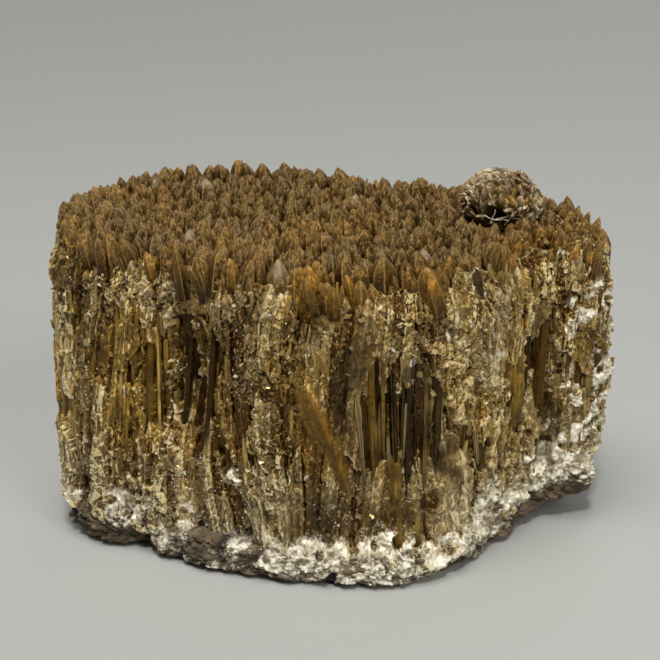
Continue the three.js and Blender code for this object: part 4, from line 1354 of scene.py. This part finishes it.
# %% Patterns
def noise(tree, size_mm, stretch=(1, 1, 1), detail=4.0, rough=0.55, lean=0.0):
    """Noise in the block's own coordinates with hills of about size_mm, longer where stretch is below 1. lean
    tips its upright to the right, in degrees."""
    where = add(tree, "ShaderNodeTexCoord").outputs["Object"]
    scale = tuple(size_mm / 1000 / part for part in stretch)
    turned = (0.0, math.radians(lean), 0.0)
    moved = add(tree, "ShaderNodeMapping", {"Vector": where, "Rotation": turned, "Scale": scale},
                vector_type="TEXTURE").outputs["Vector"]
    hills = {"Vector": moved, "Scale": 1.0, "Detail": detail, "Roughness": rough}
    return add(tree, "ShaderNodeTexNoise", hills).outputs["Fac"]


def glitter(tree, size_mm, tilt, normal=None):
    """Tiny mirror faces: each random cell of about size_mm leans the surface its own way, so some flash."""
    where = add(tree, "ShaderNodeTexCoord").outputs["Object"]
    cells = add(tree, "ShaderNodeTexVoronoi", {"Vector": where, "Scale": 1000 / size_mm}).outputs["Color"]
    lean = add(tree, "ShaderNodeVectorMath", {0: cells, 1: (0.5, 0.5, 0.5)}, operation="SUBTRACT").outputs[0]
    lean = add(tree, "ShaderNodeVectorMath", {0: lean, "Scale": tilt}, operation="SCALE").outputs[0]
    start = normal or add(tree, "ShaderNodeNewGeometry").outputs["Normal"]
    leaned = add(tree, "ShaderNodeVectorMath", {0: start, 1: lean}, operation="ADD").outputs[0]
    return add(tree, "ShaderNodeVectorMath", {0: leaned}, operation="NORMALIZE").outputs[0]


GLINT = colour(232, 196, 138)  # light that bounces about in honey-coloured crystal comes back warm


def tone_and_painted_glint_cells(tree, size_mm, stretch=(1, 1, 1)):
    """A random number for each cell of about size_mm, for random tone; the finishes paint the brightest
    cells as glints, painted light that small cracks inside a clear crystal reflect.
    """
    where = add(tree, "ShaderNodeTexCoord").outputs["Object"]
    scale = tuple(part * 1000 / size_mm for part in stretch)
    moved = add(tree, "ShaderNodeMapping", {"Vector": where, "Scale": scale}).outputs["Vector"]
    cells = add(tree, "ShaderNodeTexVoronoi", {"Vector": moved, "Scale": 1.0}).outputs["Color"]
    return add(tree, "ShaderNodeSeparateColor", {0: cells}).outputs["Red"]


def bumpy(tree, height, strength, reach):
    """A rough skin without more mesh: the normal, leaned by the slope of a height of reach metres."""
    inputs = {"Strength": strength, "Distance": reach, "Height": height}
    return add(tree, "ShaderNodeBump", inputs).outputs["Normal"]


def off_middle(tree):
    """How far a point is from the middle of its face, from the UV map: 0 there, 0.5 at the long edges."""
    own = add(tree, "ShaderNodeUVMap", uv_map="faces").outputs["UV"]
    across = add(tree, "ShaderNodeSeparateXYZ", {0: own}).outputs["X"]
    return maths(tree, "ABSOLUTE", maths(tree, "SUBTRACT", across, 0.5))


def give_surface(tree, output, inputs, **options):
    """Ends a finish: one general shader with the given sockets, joined to the output."""
    shader = add(tree, "ShaderNodeBsdfPrincipled", inputs, **options)
    tree.links.new(shader.outputs[0], output.inputs["Surface"])


CALCITE_IOR = 1.6  # how strongly calcite bends light


def give_crystal(tree, output, inputs):
    """Ends a finish of crystal, in which light wanders about at random below the surface."""
    give_surface(tree, output, {"IOR": CALCITE_IOR, **inputs}, subsurface_method="RANDOM_WALK")


print("patterns are ready")

# %% [markdown]
# The points are clear honey inside and frosted outside. Light sinks in and comes out orange, which is
# subsurface scattering: red travels furthest, blue is swallowed first. The further down between the
# crystals, the darker the colour: painted shade of the grooves. Streaks and specks keep a face from
# looking like plastic, and the cells of small cracks vary its tone, the brightest painted as glints. The
# pale line along the edges and a little at the tips is partly frost and partly a painted highlight, and
# tiny mirror faces glitter. An image would be too coarse for all this, so it is worked out from noise and
# from the marks.

# %% Finish of the points
def frosted_honey(name, frost_and_highlight_colour):
    """The finish of the points."""
    material, tree, output = finish(name)
    tint, gold, pale, depth = marks_on(tree, "tint gold pale depth")
    way_down = product(tree, depth, 0.1)
    # tip weighs the frost and painted highlight at the tips, and low the painted shade down between the
    # crystals
    tip = ramp(tree, way_down, (0.0, 1.0), (0.28, 0.25), (0.5, 0.0))
    low = ramp(tree, way_down, (0.16, 0.0), (0.5, 0.75), (0.8, 1.0))
    patchy = noise(tree, 22, detail=2)
    inside = blend(tree, ramp(tree, patchy, (0.35, 0.0), (0.65, 1.0)), colour(86, 58, 17), colour(65, 46, 17))
    inside = blend(tree, product(tree, gold, 0.8), inside, colour(128, 88, 18))
    # Painted shade: the colour darkens the further down between the crystals, less on golden ones
    sunk = product(tree, low, maths(tree, "SUBTRACT", 1.0, product(tree, gold, 0.55)))
    inside = blend(tree, sunk, inside, colour(48, 27, 4))
    streaks = noise(tree, 2.2, stretch=(1, 1, 0.25), detail=5)
    speckle = noise(tree, 0.8, detail=6, rough=0.75)
    inside = times(tree, inside, ramp(tree, streaks, (0.3, 0.5), (0.7, 1.25)))
    inside = times(tree, inside, ramp(tree, speckle, (0.35, 0.6), (0.65, 1.45)))
    inside = times(tree, inside, ramp(tree, tint, (0.0, 0.5), (0.6, 0.95), (1.0, 1.5)))
    # The pale line along the face edges, and a little at the tips, is partly frost and partly a painted
    # highlight
    edge = ramp(tree, off_middle(tree), (0.41, 0.0), (0.5, 1.0))
    # Random tone by cells, and the brightest cells are painted glints
    cells = tone_and_painted_glint_cells(tree, 0.9, (1, 1, 0.5))
    inside = times(tree, inside, ramp(tree, cells, (0.0, 0.55), (0.75, 0.95), (1.0, 1.8)))
    frost = maths(tree, "MULTIPLY_ADD", edge, 0.38, product(tree, tip, 0.14))
    frost = product(tree, frost, ramp(tree, speckle, (0.35, 0.45), (0.65, 1.4)), clamp=True)
    skin = blend(tree, frost, inside, frost_and_highlight_colour)
    whitish = product(tree, pale, maths(tree, "SUBTRACT", 0.5, low), clamp=True)
    skin = blend(tree, whitish, skin, colour(162, 148, 124))
    bumps = maths(tree, "MULTIPLY_ADD", speckle, 0.6, streaks)
    bump = bumpy(tree, bumps, 0.4, 0.0008)
    give_crystal(tree, output, {
        "Base Color": skin, "Roughness": ramp(tree, speckle, (0.42, 0.08), (0.52, 0.42)),
        "Normal": glitter(tree, 0.9, 0.6, bump), "Specular IOR Level": 0.5, "Specular Tint": GLINT,
        "Sheen Weight": 0.06, "Sheen Roughness": 0.25, "Sheen Tint": colour(226, 190, 130),
        "Subsurface Weight": 0.4, "Subsurface Radius": (1.0, 0.86, 0.46), "Subsurface Scale": 0.0006,
    })
    return material


# The pale colour is frost and painted highlight on the edges and tips
point_finish = frosted_honey("frosted_honey_points", colour(216, 178, 112))
print("made", point_finish.name)

# %% [markdown]
# The broken sides use one finish that reads the marks of the surface: dark for the glassy columns in the
# hollows, which there and on the blade's left face is painted shade as well, gold for clear honey, crust
# for the white powder, and proud, which gives creases and holes painted shade and ridges a painted
# highlight. The tone carries painted light, lighter on the right-hand part and darker at the far left.
# Each facet has a tint of its own, fibres run up and down, the brightest cells are painted glints, and
# some facets are glossy and others dull, as they are on freshly broken calcite.

# %% Finish of the broken sides
def honey_tones(tree, tone, broad, mottle):
    """The honey of a column by its tone, from dark brown over olive and honey to straw, clouded by noise."""
    olive = blend(tree, ramp(tree, broad, (0.4, 0.0), (0.6, 1.0)), colour(122, 102, 50), colour(128, 98, 42))
    body = blend(tree, ramp(tree, tone, (0.28, 0.0), (0.46, 1.0)), colour(76, 52, 18), olive)
    body = blend(tree, ramp(tree, tone, (0.54, 0.0), (0.76, 0.9)), body, colour(172, 148, 94))
    return blend(tree, ramp(tree, mottle, (0.50, 0.0), (0.66, 0.75)), body, colour(72, 48, 16))


def broken_calcite(name):
    """The finish of the broken sides, of the white grains on them, and of the knob's core and threads."""
    material, tree, output = finish(name)
    dark, gold, crust, tint, gloss = marks_on(tree, "dark gold crust tint gloss")
    proud, tone, veil, lump, blade = marks_on(tree, "proud tone veil lump blade")
    fibres = noise(tree, 1.5, stretch=(1, 1, 0.22), detail=5, rough=0.6)
    mottle = noise(tree, 5.5, detail=5)
    fine = noise(tree, 1.0, detail=5, rough=0.65)
    body = honey_tones(tree, tone, noise(tree, 24, detail=3), mottle)
    warm = ramp(tree, noise(tree, 13, stretch=(1, 1, 0.6), detail=3), (0.50, 0.0), (0.62, 0.6))
    body = blend(tree, warm, body, colour(146, 110, 46))
    golden = product(tree, gold, ramp(tree, fibres, (0.3, 0.3), (0.6, 0.85)))
    body = blend(tree, golden, body, colour(156, 122, 48))
    bloom = product(tree, veil, ramp(tree, mottle, (0.35, 0.2), (0.6, 0.75)))
    body = blend(tree, bloom, body, colour(148, 136, 108))
    body = times(tree, body, ramp(tree, fibres, (0.28, 0.75), (0.72, 1.25)))
    body = times(tree, body, ramp(tree, tint, (0.0, 0.8), (1.0, 1.2)))
    body = times(tree, body, ramp(tree, lump, (0.0, 0.85), (1.0, 1.15)))
    # Random tone by cells; the brightest are painted glints, and the top few turn cream
    cells = tone_and_painted_glint_cells(tree, 0.8, (1, 1, 0.6))
    body = times(tree, body, ramp(tree, cells, (0.0, 0.66), (0.75, 1.05), (1.0, 2.1)))
    body = blend(tree, ramp(tree, cells, (0.94, 0.0), (0.98, 0.7)), body, colour(232, 216, 170))
    # Painted shade in creases and holes, where proud is low, and a painted highlight on ridges, where it is
    # high
    pits = times(tree, body, colour(122, 92, 46))
    body = blend(tree, ramp(tree, proud, (0.05, 1.0), (0.6, 0.0)), body, pits)
    body = blend(tree, ramp(tree, proud, (0.76, 0.0), (1.0, 0.65)), body, colour(226, 208, 162))
    lines = noise(tree, 1.6, stretch=(1, 1, 0.07), detail=5, lean=-22)
    honey = blend(tree, ramp(tree, lines, (0.3, 0.0), (0.65, 1.0)), colour(72, 50, 16), colour(138, 101, 32))
    body = blend(tree, blade, body, honey)
    deep = blend(tree, ramp(tree, fibres, (0.4, 0.0), (0.8, 1.0)), colour(20, 12, 5), colour(58, 39, 14))
    # Dark: the columns' own near-black, which in the hollows and on the blade's left face is also painted
    # shade
    body = blend(tree, product(tree, dark, 0.96), body, deep)
    clotted = ramp(tree, noise(tree, 3, detail=5), (0.3, 0.0), (0.6, 1.0))
    powder = blend(tree, clotted, colour(186, 174, 144), colour(254, 248, 228))
    powder = blend(tree, ramp(tree, mottle, (0.52, 0.0), (0.64, 0.7)), powder, colour(112, 96, 68))
    covered = ramp(tree, maths(tree, "MULTIPLY_ADD", fine, 0.9, crust), (0.72, 0.0), (1.0, 1.0))
    body = blend(tree, covered, body, powder)
    bumps = maths(tree, "MULTIPLY_ADD", fibres, 0.8, product(tree, fine, 0.7))
    bump = bumpy(tree, bumps, 0.5, 0.0006)
    dull = ramp(tree, gloss, (0.0, 0.06), (0.5, 0.16), (1.0, 0.40))
    dull = maths(tree, "MULTIPLY_ADD", covered, 0.4, dull, clamp=True)
    dull = add(tree, "ShaderNodeMix", {0: dark, 2: dull, 3: 0.12}, data_type="FLOAT").outputs[0]
    light_gets_in = maths(tree, "SUBTRACT", maths(tree, "SUBTRACT", 1.0, dark), covered, clamp=True)
    weight = product(tree, light_gets_in, 0.85)
    give_crystal(tree, output, {
        "Base Color": body, "Roughness": dull, "Normal": glitter(tree, 1.0, 0.8, bump),
        "Specular IOR Level": 0.55, "Specular Tint": GLINT, "Subsurface Weight": weight,
        "Subsurface Radius": (1.0, 0.85, 0.5), "Subsurface Scale": 0.0032,
    })
    return material


broken_finish = broken_calcite("broken_honey_calcite")
print("made", broken_finish.name)

# %% [markdown]
# The long columns and the grains have finishes of their own. A thick column swallows nearly all light, so
# it is almost black in the middle of a face, and its edges get a painted glow of honey light: the face's
# own coordinates tell the finish how far it is from an edge. The grains are like sugar: light scatters
# about inside them, so they look milky and pale, and only a little passes straight through.

# %% Finish of long columns and of sugary grains
def pillar_calcite(name):
    """Glassy columns: dark or honey by the marks, a painted glow of honey light along the edges,
    drawn-out streaks.
    """
    material, tree, output = finish(name)
    dark, gold, tint, tone, veil = marks_on(tree, "dark gold tint tone veil")
    streaks = noise(tree, 1.3, stretch=(1, 1, 0.06), detail=5, rough=0.6)
    clouds = noise(tree, 6, stretch=(1, 1, 0.5), detail=3)
    honey = honey_tones(tree, tone, noise(tree, 24, detail=3), clouds)
    honey = blend(tree, product(tree, gold, 0.9), honey, colour(150, 118, 46))
    honey = blend(tree, product(tree, veil, 0.6), honey, colour(148, 136, 108))
    honey = blend(tree, ramp(tree, clouds, (0.45, 0.0), (0.62, 0.8)), honey, colour(78, 54, 22))
    deep = blend(tree, ramp(tree, streaks, (0.45, 0.0), (0.8, 1.0)), colour(22, 13, 5), colour(68, 44, 15))
    # Painted glow: the face edges lose some dark and shine honey
    edge = ramp(tree, off_middle(tree), (0.34, 0.0), (0.5, 1.0))
    dark_less_painted_edge_glow = maths(tree, "SUBTRACT", dark, product(tree, edge, 0.25), clamp=True)
    body = blend(tree, dark_less_painted_edge_glow, honey, deep)
    body = times(tree, body, ramp(tree, streaks, (0.28, 0.55), (0.72, 1.4)))
    body = times(tree, body, ramp(tree, tint, (0.0, 0.75), (1.0, 1.2)))
    # Pale specks over the columns
    pale_specks = ramp(tree, noise(tree, 1.0, detail=6, rough=0.75), (0.64, 0.0), (0.72, 0.6))
    body = blend(tree, pale_specks, body, colour(212, 190, 138))
    bump = bumpy(tree, streaks, 0.3, 0.0005)
    give_crystal(tree, output, {
        "Base Color": body, "Roughness": ramp(tree, clouds, (0.35, 0.05), (0.65, 0.22)),
        "Normal": glitter(tree, 1.2, 0.45, bump), "Specular IOR Level": 0.25, "Specular Tint": GLINT,
        "Subsurface Weight": 0.35, "Subsurface Radius": (1.0, 0.9, 0.5), "Subsurface Scale": 0.0015,
    })
    return material


def sugar_calcite(name):
    """Sugary grains: honey to straw by the tone of what they sit on, with its painted light; a few are
    nearly white, and on the tiny sparkle grains that white is a painted glint.
    """
    material, tree, output = finish(name)
    tint, gold, dark, veil, tone = marks_on(tree, "tint gold dark veil tone")
    body = blend(tree, ramp(tree, tone, (0.3, 0.0), (0.7, 1.0)), colour(116, 94, 50), colour(160, 136, 86))
    body = blend(tree, product(tree, gold, 0.6), body, colour(172, 132, 50))
    body = blend(tree, product(tree, veil, 0.6), body, colour(152, 138, 106))
    body = times(tree, body, ramp(tree, tint, (0.2, 0.82), (0.7, 1.18)))
    # Nearly white where the tint is high: a few whitish grains, and on the sparkle grains a painted glint
    body = blend(tree, ramp(tree, tint, (0.75, 0.0), (0.9, 0.85)), body, colour(240, 228, 190))
    body = blend(tree, product(tree, dark, 0.5), body, colour(120, 92, 54))
    frost = noise(tree, 0.7, detail=4)
    give_crystal(tree, output, {
        "Base Color": body, "Roughness": ramp(tree, frost, (0.35, 0.05), (0.65, 0.30)),
        "Specular IOR Level": 0.5, "Specular Tint": GLINT, "Transmission Weight": 0.15,
        "Subsurface Weight": 0.8, "Subsurface Radius": (1.0, 0.85, 0.5), "Subsurface Scale": 0.002,
    })
    return material


pillar_finish, sugar_finish = pillar_calcite("dark_and_honey_columns"), sugar_calcite("clear_sugar")
print("made", pillar_finish.name, sugar_finish.name)

# %% [markdown]
# The other finishes are simpler. The rock is dull brown-grey, with painted shade in its pits and white
# powder along its upper edge. The knob's leaves are pale and glassy, with painted shade low between them
# and near the mouth. The single crystals let light through: transmission with the bending power of
# calcite, and absorption that takes out the blue; their edges get a painted highlight.

# %% Finishes of rock, knob and single crystals
def host_rock(name):
    """Dull rock: two browns mixed by noise, painted shade in the pits, fine grit, and the white crust."""
    material, tree, output = finish(name)
    crust, tint, pit = marks_on(tree, "crust tint pit")
    patchy, grit = noise(tree, 9, detail=4), noise(tree, 0.9, detail=5, rough=0.7)
    browns = ramp(tree, patchy, (0.35, 0.0), (0.65, 1.0))
    stone = blend(tree, browns, colour(66, 55, 40), colour(118, 100, 74))
    stone = times(tree, stone, ramp(tree, grit, (0.25, 0.45), (0.75, 1.5)))
    stone = times(tree, stone, ramp(tree, tint, (0.0, 0.6), (1.0, 1.35)))
    # Painted shade: dark in the pits
    stone = blend(tree, product(tree, pit, 0.6, clamp=True), stone, colour(34, 28, 22))
    speck = noise(tree, 2.2, detail=6, rough=0.7)
    clotted = ramp(tree, speck, (0.42, 0.0), (0.6, 1.0))
    powder = blend(tree, clotted, colour(112, 98, 72), colour(244, 236, 214))
    covered = ramp(tree, maths(tree, "MULTIPLY_ADD", grit, 0.9, crust), (0.75, 0.0), (1.1, 1.0))
    stone = blend(tree, covered, stone, powder)
    bump = bumpy(tree, grit, 0.8, 0.0007)
    give_surface(tree, output, {"Base Color": stone, "Roughness": 0.82, "Normal": bump})
    return material


def druse_finish(name):
    """Pale glassy leaves: cream to tan, with painted shade further down between the leaves and near the
    knob's mouth, and crisp shine.
    """
    material, tree, output = finish(name)
    tint, pale, hollow, depth = marks_on(tree, "tint pale hollow depth")
    streaks = noise(tree, 1.2, detail=4)
    body = blend(tree, pale, colour(128, 100, 62), colour(206, 186, 146))
    body = times(tree, body, ramp(tree, tint, (0.0, 0.6), (1.0, 1.25)))
    body = times(tree, body, ramp(tree, streaks, (0.3, 0.7), (0.7, 1.2)))
    # Painted shade: darker further down each leaf, where the leaves overlap, and near the mouth
    low = ramp(tree, product(tree, depth, 0.22), (0.15, 0.0), (0.9, 0.9))
    body = blend(tree, low, body, colour(66, 46, 26))
    body = blend(tree, product(tree, hollow, 0.8), body, colour(50, 38, 34))
    give_crystal(tree, output, {
        "Base Color": body, "Roughness": ramp(tree, streaks, (0.35, 0.12), (0.65, 0.38)),
        "Subsurface Weight": 0.5, "Subsurface Radius": (1.0, 0.6, 0.3), "Subsurface Scale": 0.0015,
    })
    return material


def clear_honey(name):
    """Clear crystal: part of the light passes and loses its blue on the way, and the edges get a pale
    painted highlight.
    """
    material, tree, output = finish(name)
    veins = noise(tree, 1.6, stretch=(1, 1, 0.15), detail=5)
    bump = bumpy(tree, veins, 0.1, 0.0003)
    edge = off_middle(tree)
    body = blend(tree, ramp(tree, veins, (0.35, 0.0), (0.7, 1.0)), colour(96, 72, 20), colour(150, 122, 48))
    # Painted highlight: pale along the face edges
    body = blend(tree, ramp(tree, edge, (0.40, 0.0), (0.5, 0.9)), body, colour(244, 230, 172))
    give_surface(tree, output, {
        "Base Color": body, "Roughness": 0.06, "IOR": CALCITE_IOR, "Normal": bump, "Transmission Weight": 0.4,
    })
    inside = add(tree, "ShaderNodeVolumeAbsorption", {"Color": colour(220, 176, 90), "Density": 160.0})
    tree.links.new(inside.outputs[0], output.inputs["Volume"])
    return material


rock_finish, leaf_finish = host_rock("host_rock"), druse_finish("pale_druse")
clear_finish = clear_honey("clear_honey")
dressed = {
    point_finish: [columns, rim_row, bunch, small_points, shoulder_scales, carpet_ground],
    broken_finish: [wall_left, wall_right, wall_back, white_grains, knob_core, *threads],
    sugar_finish: sugar_grains, pillar_finish: [long_columns, splinter_front, splinter_back, front_stub],
    rock_finish: [rock_foot], leaf_finish: [knob_leaves], clear_finish: singles,
}
for material, pieces in dressed.items():
    for piece in pieces:
        piece.data.materials.append(material)
        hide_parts("matrix_crust" if piece is rock_foot else "honey_crystals")
print("pieces dressed:", sum(len(pieces) for pieces in dressed.values()))

# %% [markdown]
# ## Floor, light and camera
# The block stands on a plain pale floor. A broad soft lamp hangs above it, and a small one in front makes
# the glints. Three suns give the even light of a room: one from above, one from the front right, and a weak
# one from behind, so that the back isn't lost in shade. They are made many degrees wide, because a wide sun
# casts a soft shadow. The camera looks down 17 degrees.

# %% Floor, lamps and camera
def plain(name, shade, rough):
    """A plain finish for the floor."""
    material, tree, output = finish(name)
    give_surface(tree, output, {"Base Color": shade, "Roughness": rough})
    return material


def lamp(name, at, aim, size, power):
    """A square soft lamp at a place in metres, turned so that its face looks at the aim."""
    data = bpy.data.lights.new(name, "AREA")
    data.size, data.energy, data.color = size, power, LAMP_TONE
    made = put_in_scene(name, data)
    made.location = at
    away = np.array(at) - np.array(aim)
    turn = math.atan2(away[0], -away[1])
    made.rotation_euler = (math.atan2(math.hypot(away[0], away[1]), away[2]), 0.0, turn)
    return made


FLOOR_HALF = 8.0  # in metres, wide enough that no view shows its edge
floor_mesh = bpy.data.meshes.new("floor")
square = [(x * FLOOR_HALF, y * FLOOR_HALF, 0.0) for x, y in ((-1, -1), (1, -1), (1, 1), (-1, 1))]
floor_mesh.from_pydata(square, [], [(0, 1, 2, 3)])
floor_mesh.materials.append(plain("pale_floor", colour(169, 169, 164), 0.75))
floor = put_in_scene("floor", floor_mesh)

LAMP_TONE = (1.0, 0.99, 0.98)
LAMPS = {  # place and aim in metres, width in metres, power in watts
    "top_lamp": ((-0.25, -0.15, 1.40), (0.0, 0.1, 0.05), 0.80, 2.5),
    "spark_lamp": ((0.0, -0.80, 1.10), (0.0, 0.0, 0.05), 0.14, 9.0),
}
for name, settings in LAMPS.items():
    lamp(name, *settings)
SUNS = {  # strength, width and turn, both in degrees
    "even_light": (1.4, 36, (14, -10, 0)), "front_light": (0.95, 26, (58, 0, 36)),
    "back_light": (0.4, 40, (-58, 0, -20)),
}
for name, (strength, wide, turn) in SUNS.items():
    sun = bpy.data.lights.new(name, "SUN")
    sun.energy, sun.angle = strength, math.radians(wide)
    put_in_scene(name, sun).rotation_euler = [math.radians(part) for part in turn]

ROOM_STRENGTH = 0.28
world = bpy.data.worlds.new("room")
world.use_nodes = True
room = world.node_tree.nodes["Background"]
room.inputs["Color"].default_value = colour(176, 178, 176)
room.inputs["Strength"].default_value = ROOM_STRENGTH
bpy.context.scene.world = world
bpy.context.scene.view_settings.view_transform = "Standard"

CAMERA_AT = (np.array([0.0, -400.0, 199.4]) - ORIGIN) * MM  # given in the drawing frame
LOOK_DOWN = 17  # degrees
SENSOR, LENS, SEES_TO = 36.0, 81.8, 20.0  # width and focal length in mm, reach in metres
camera_data = bpy.data.cameras.new("camera")
camera_data.sensor_width, camera_data.lens, camera_data.clip_end = SENSOR, LENS, SEES_TO
camera = put_in_scene("camera", camera_data)
camera.location = CAMERA_AT
camera.rotation_euler = (math.radians(90 - LOOK_DOWN), 0.0, 0.0)
bpy.context.scene.camera = camera
print("camera at", CAMERA_AT.round(3))
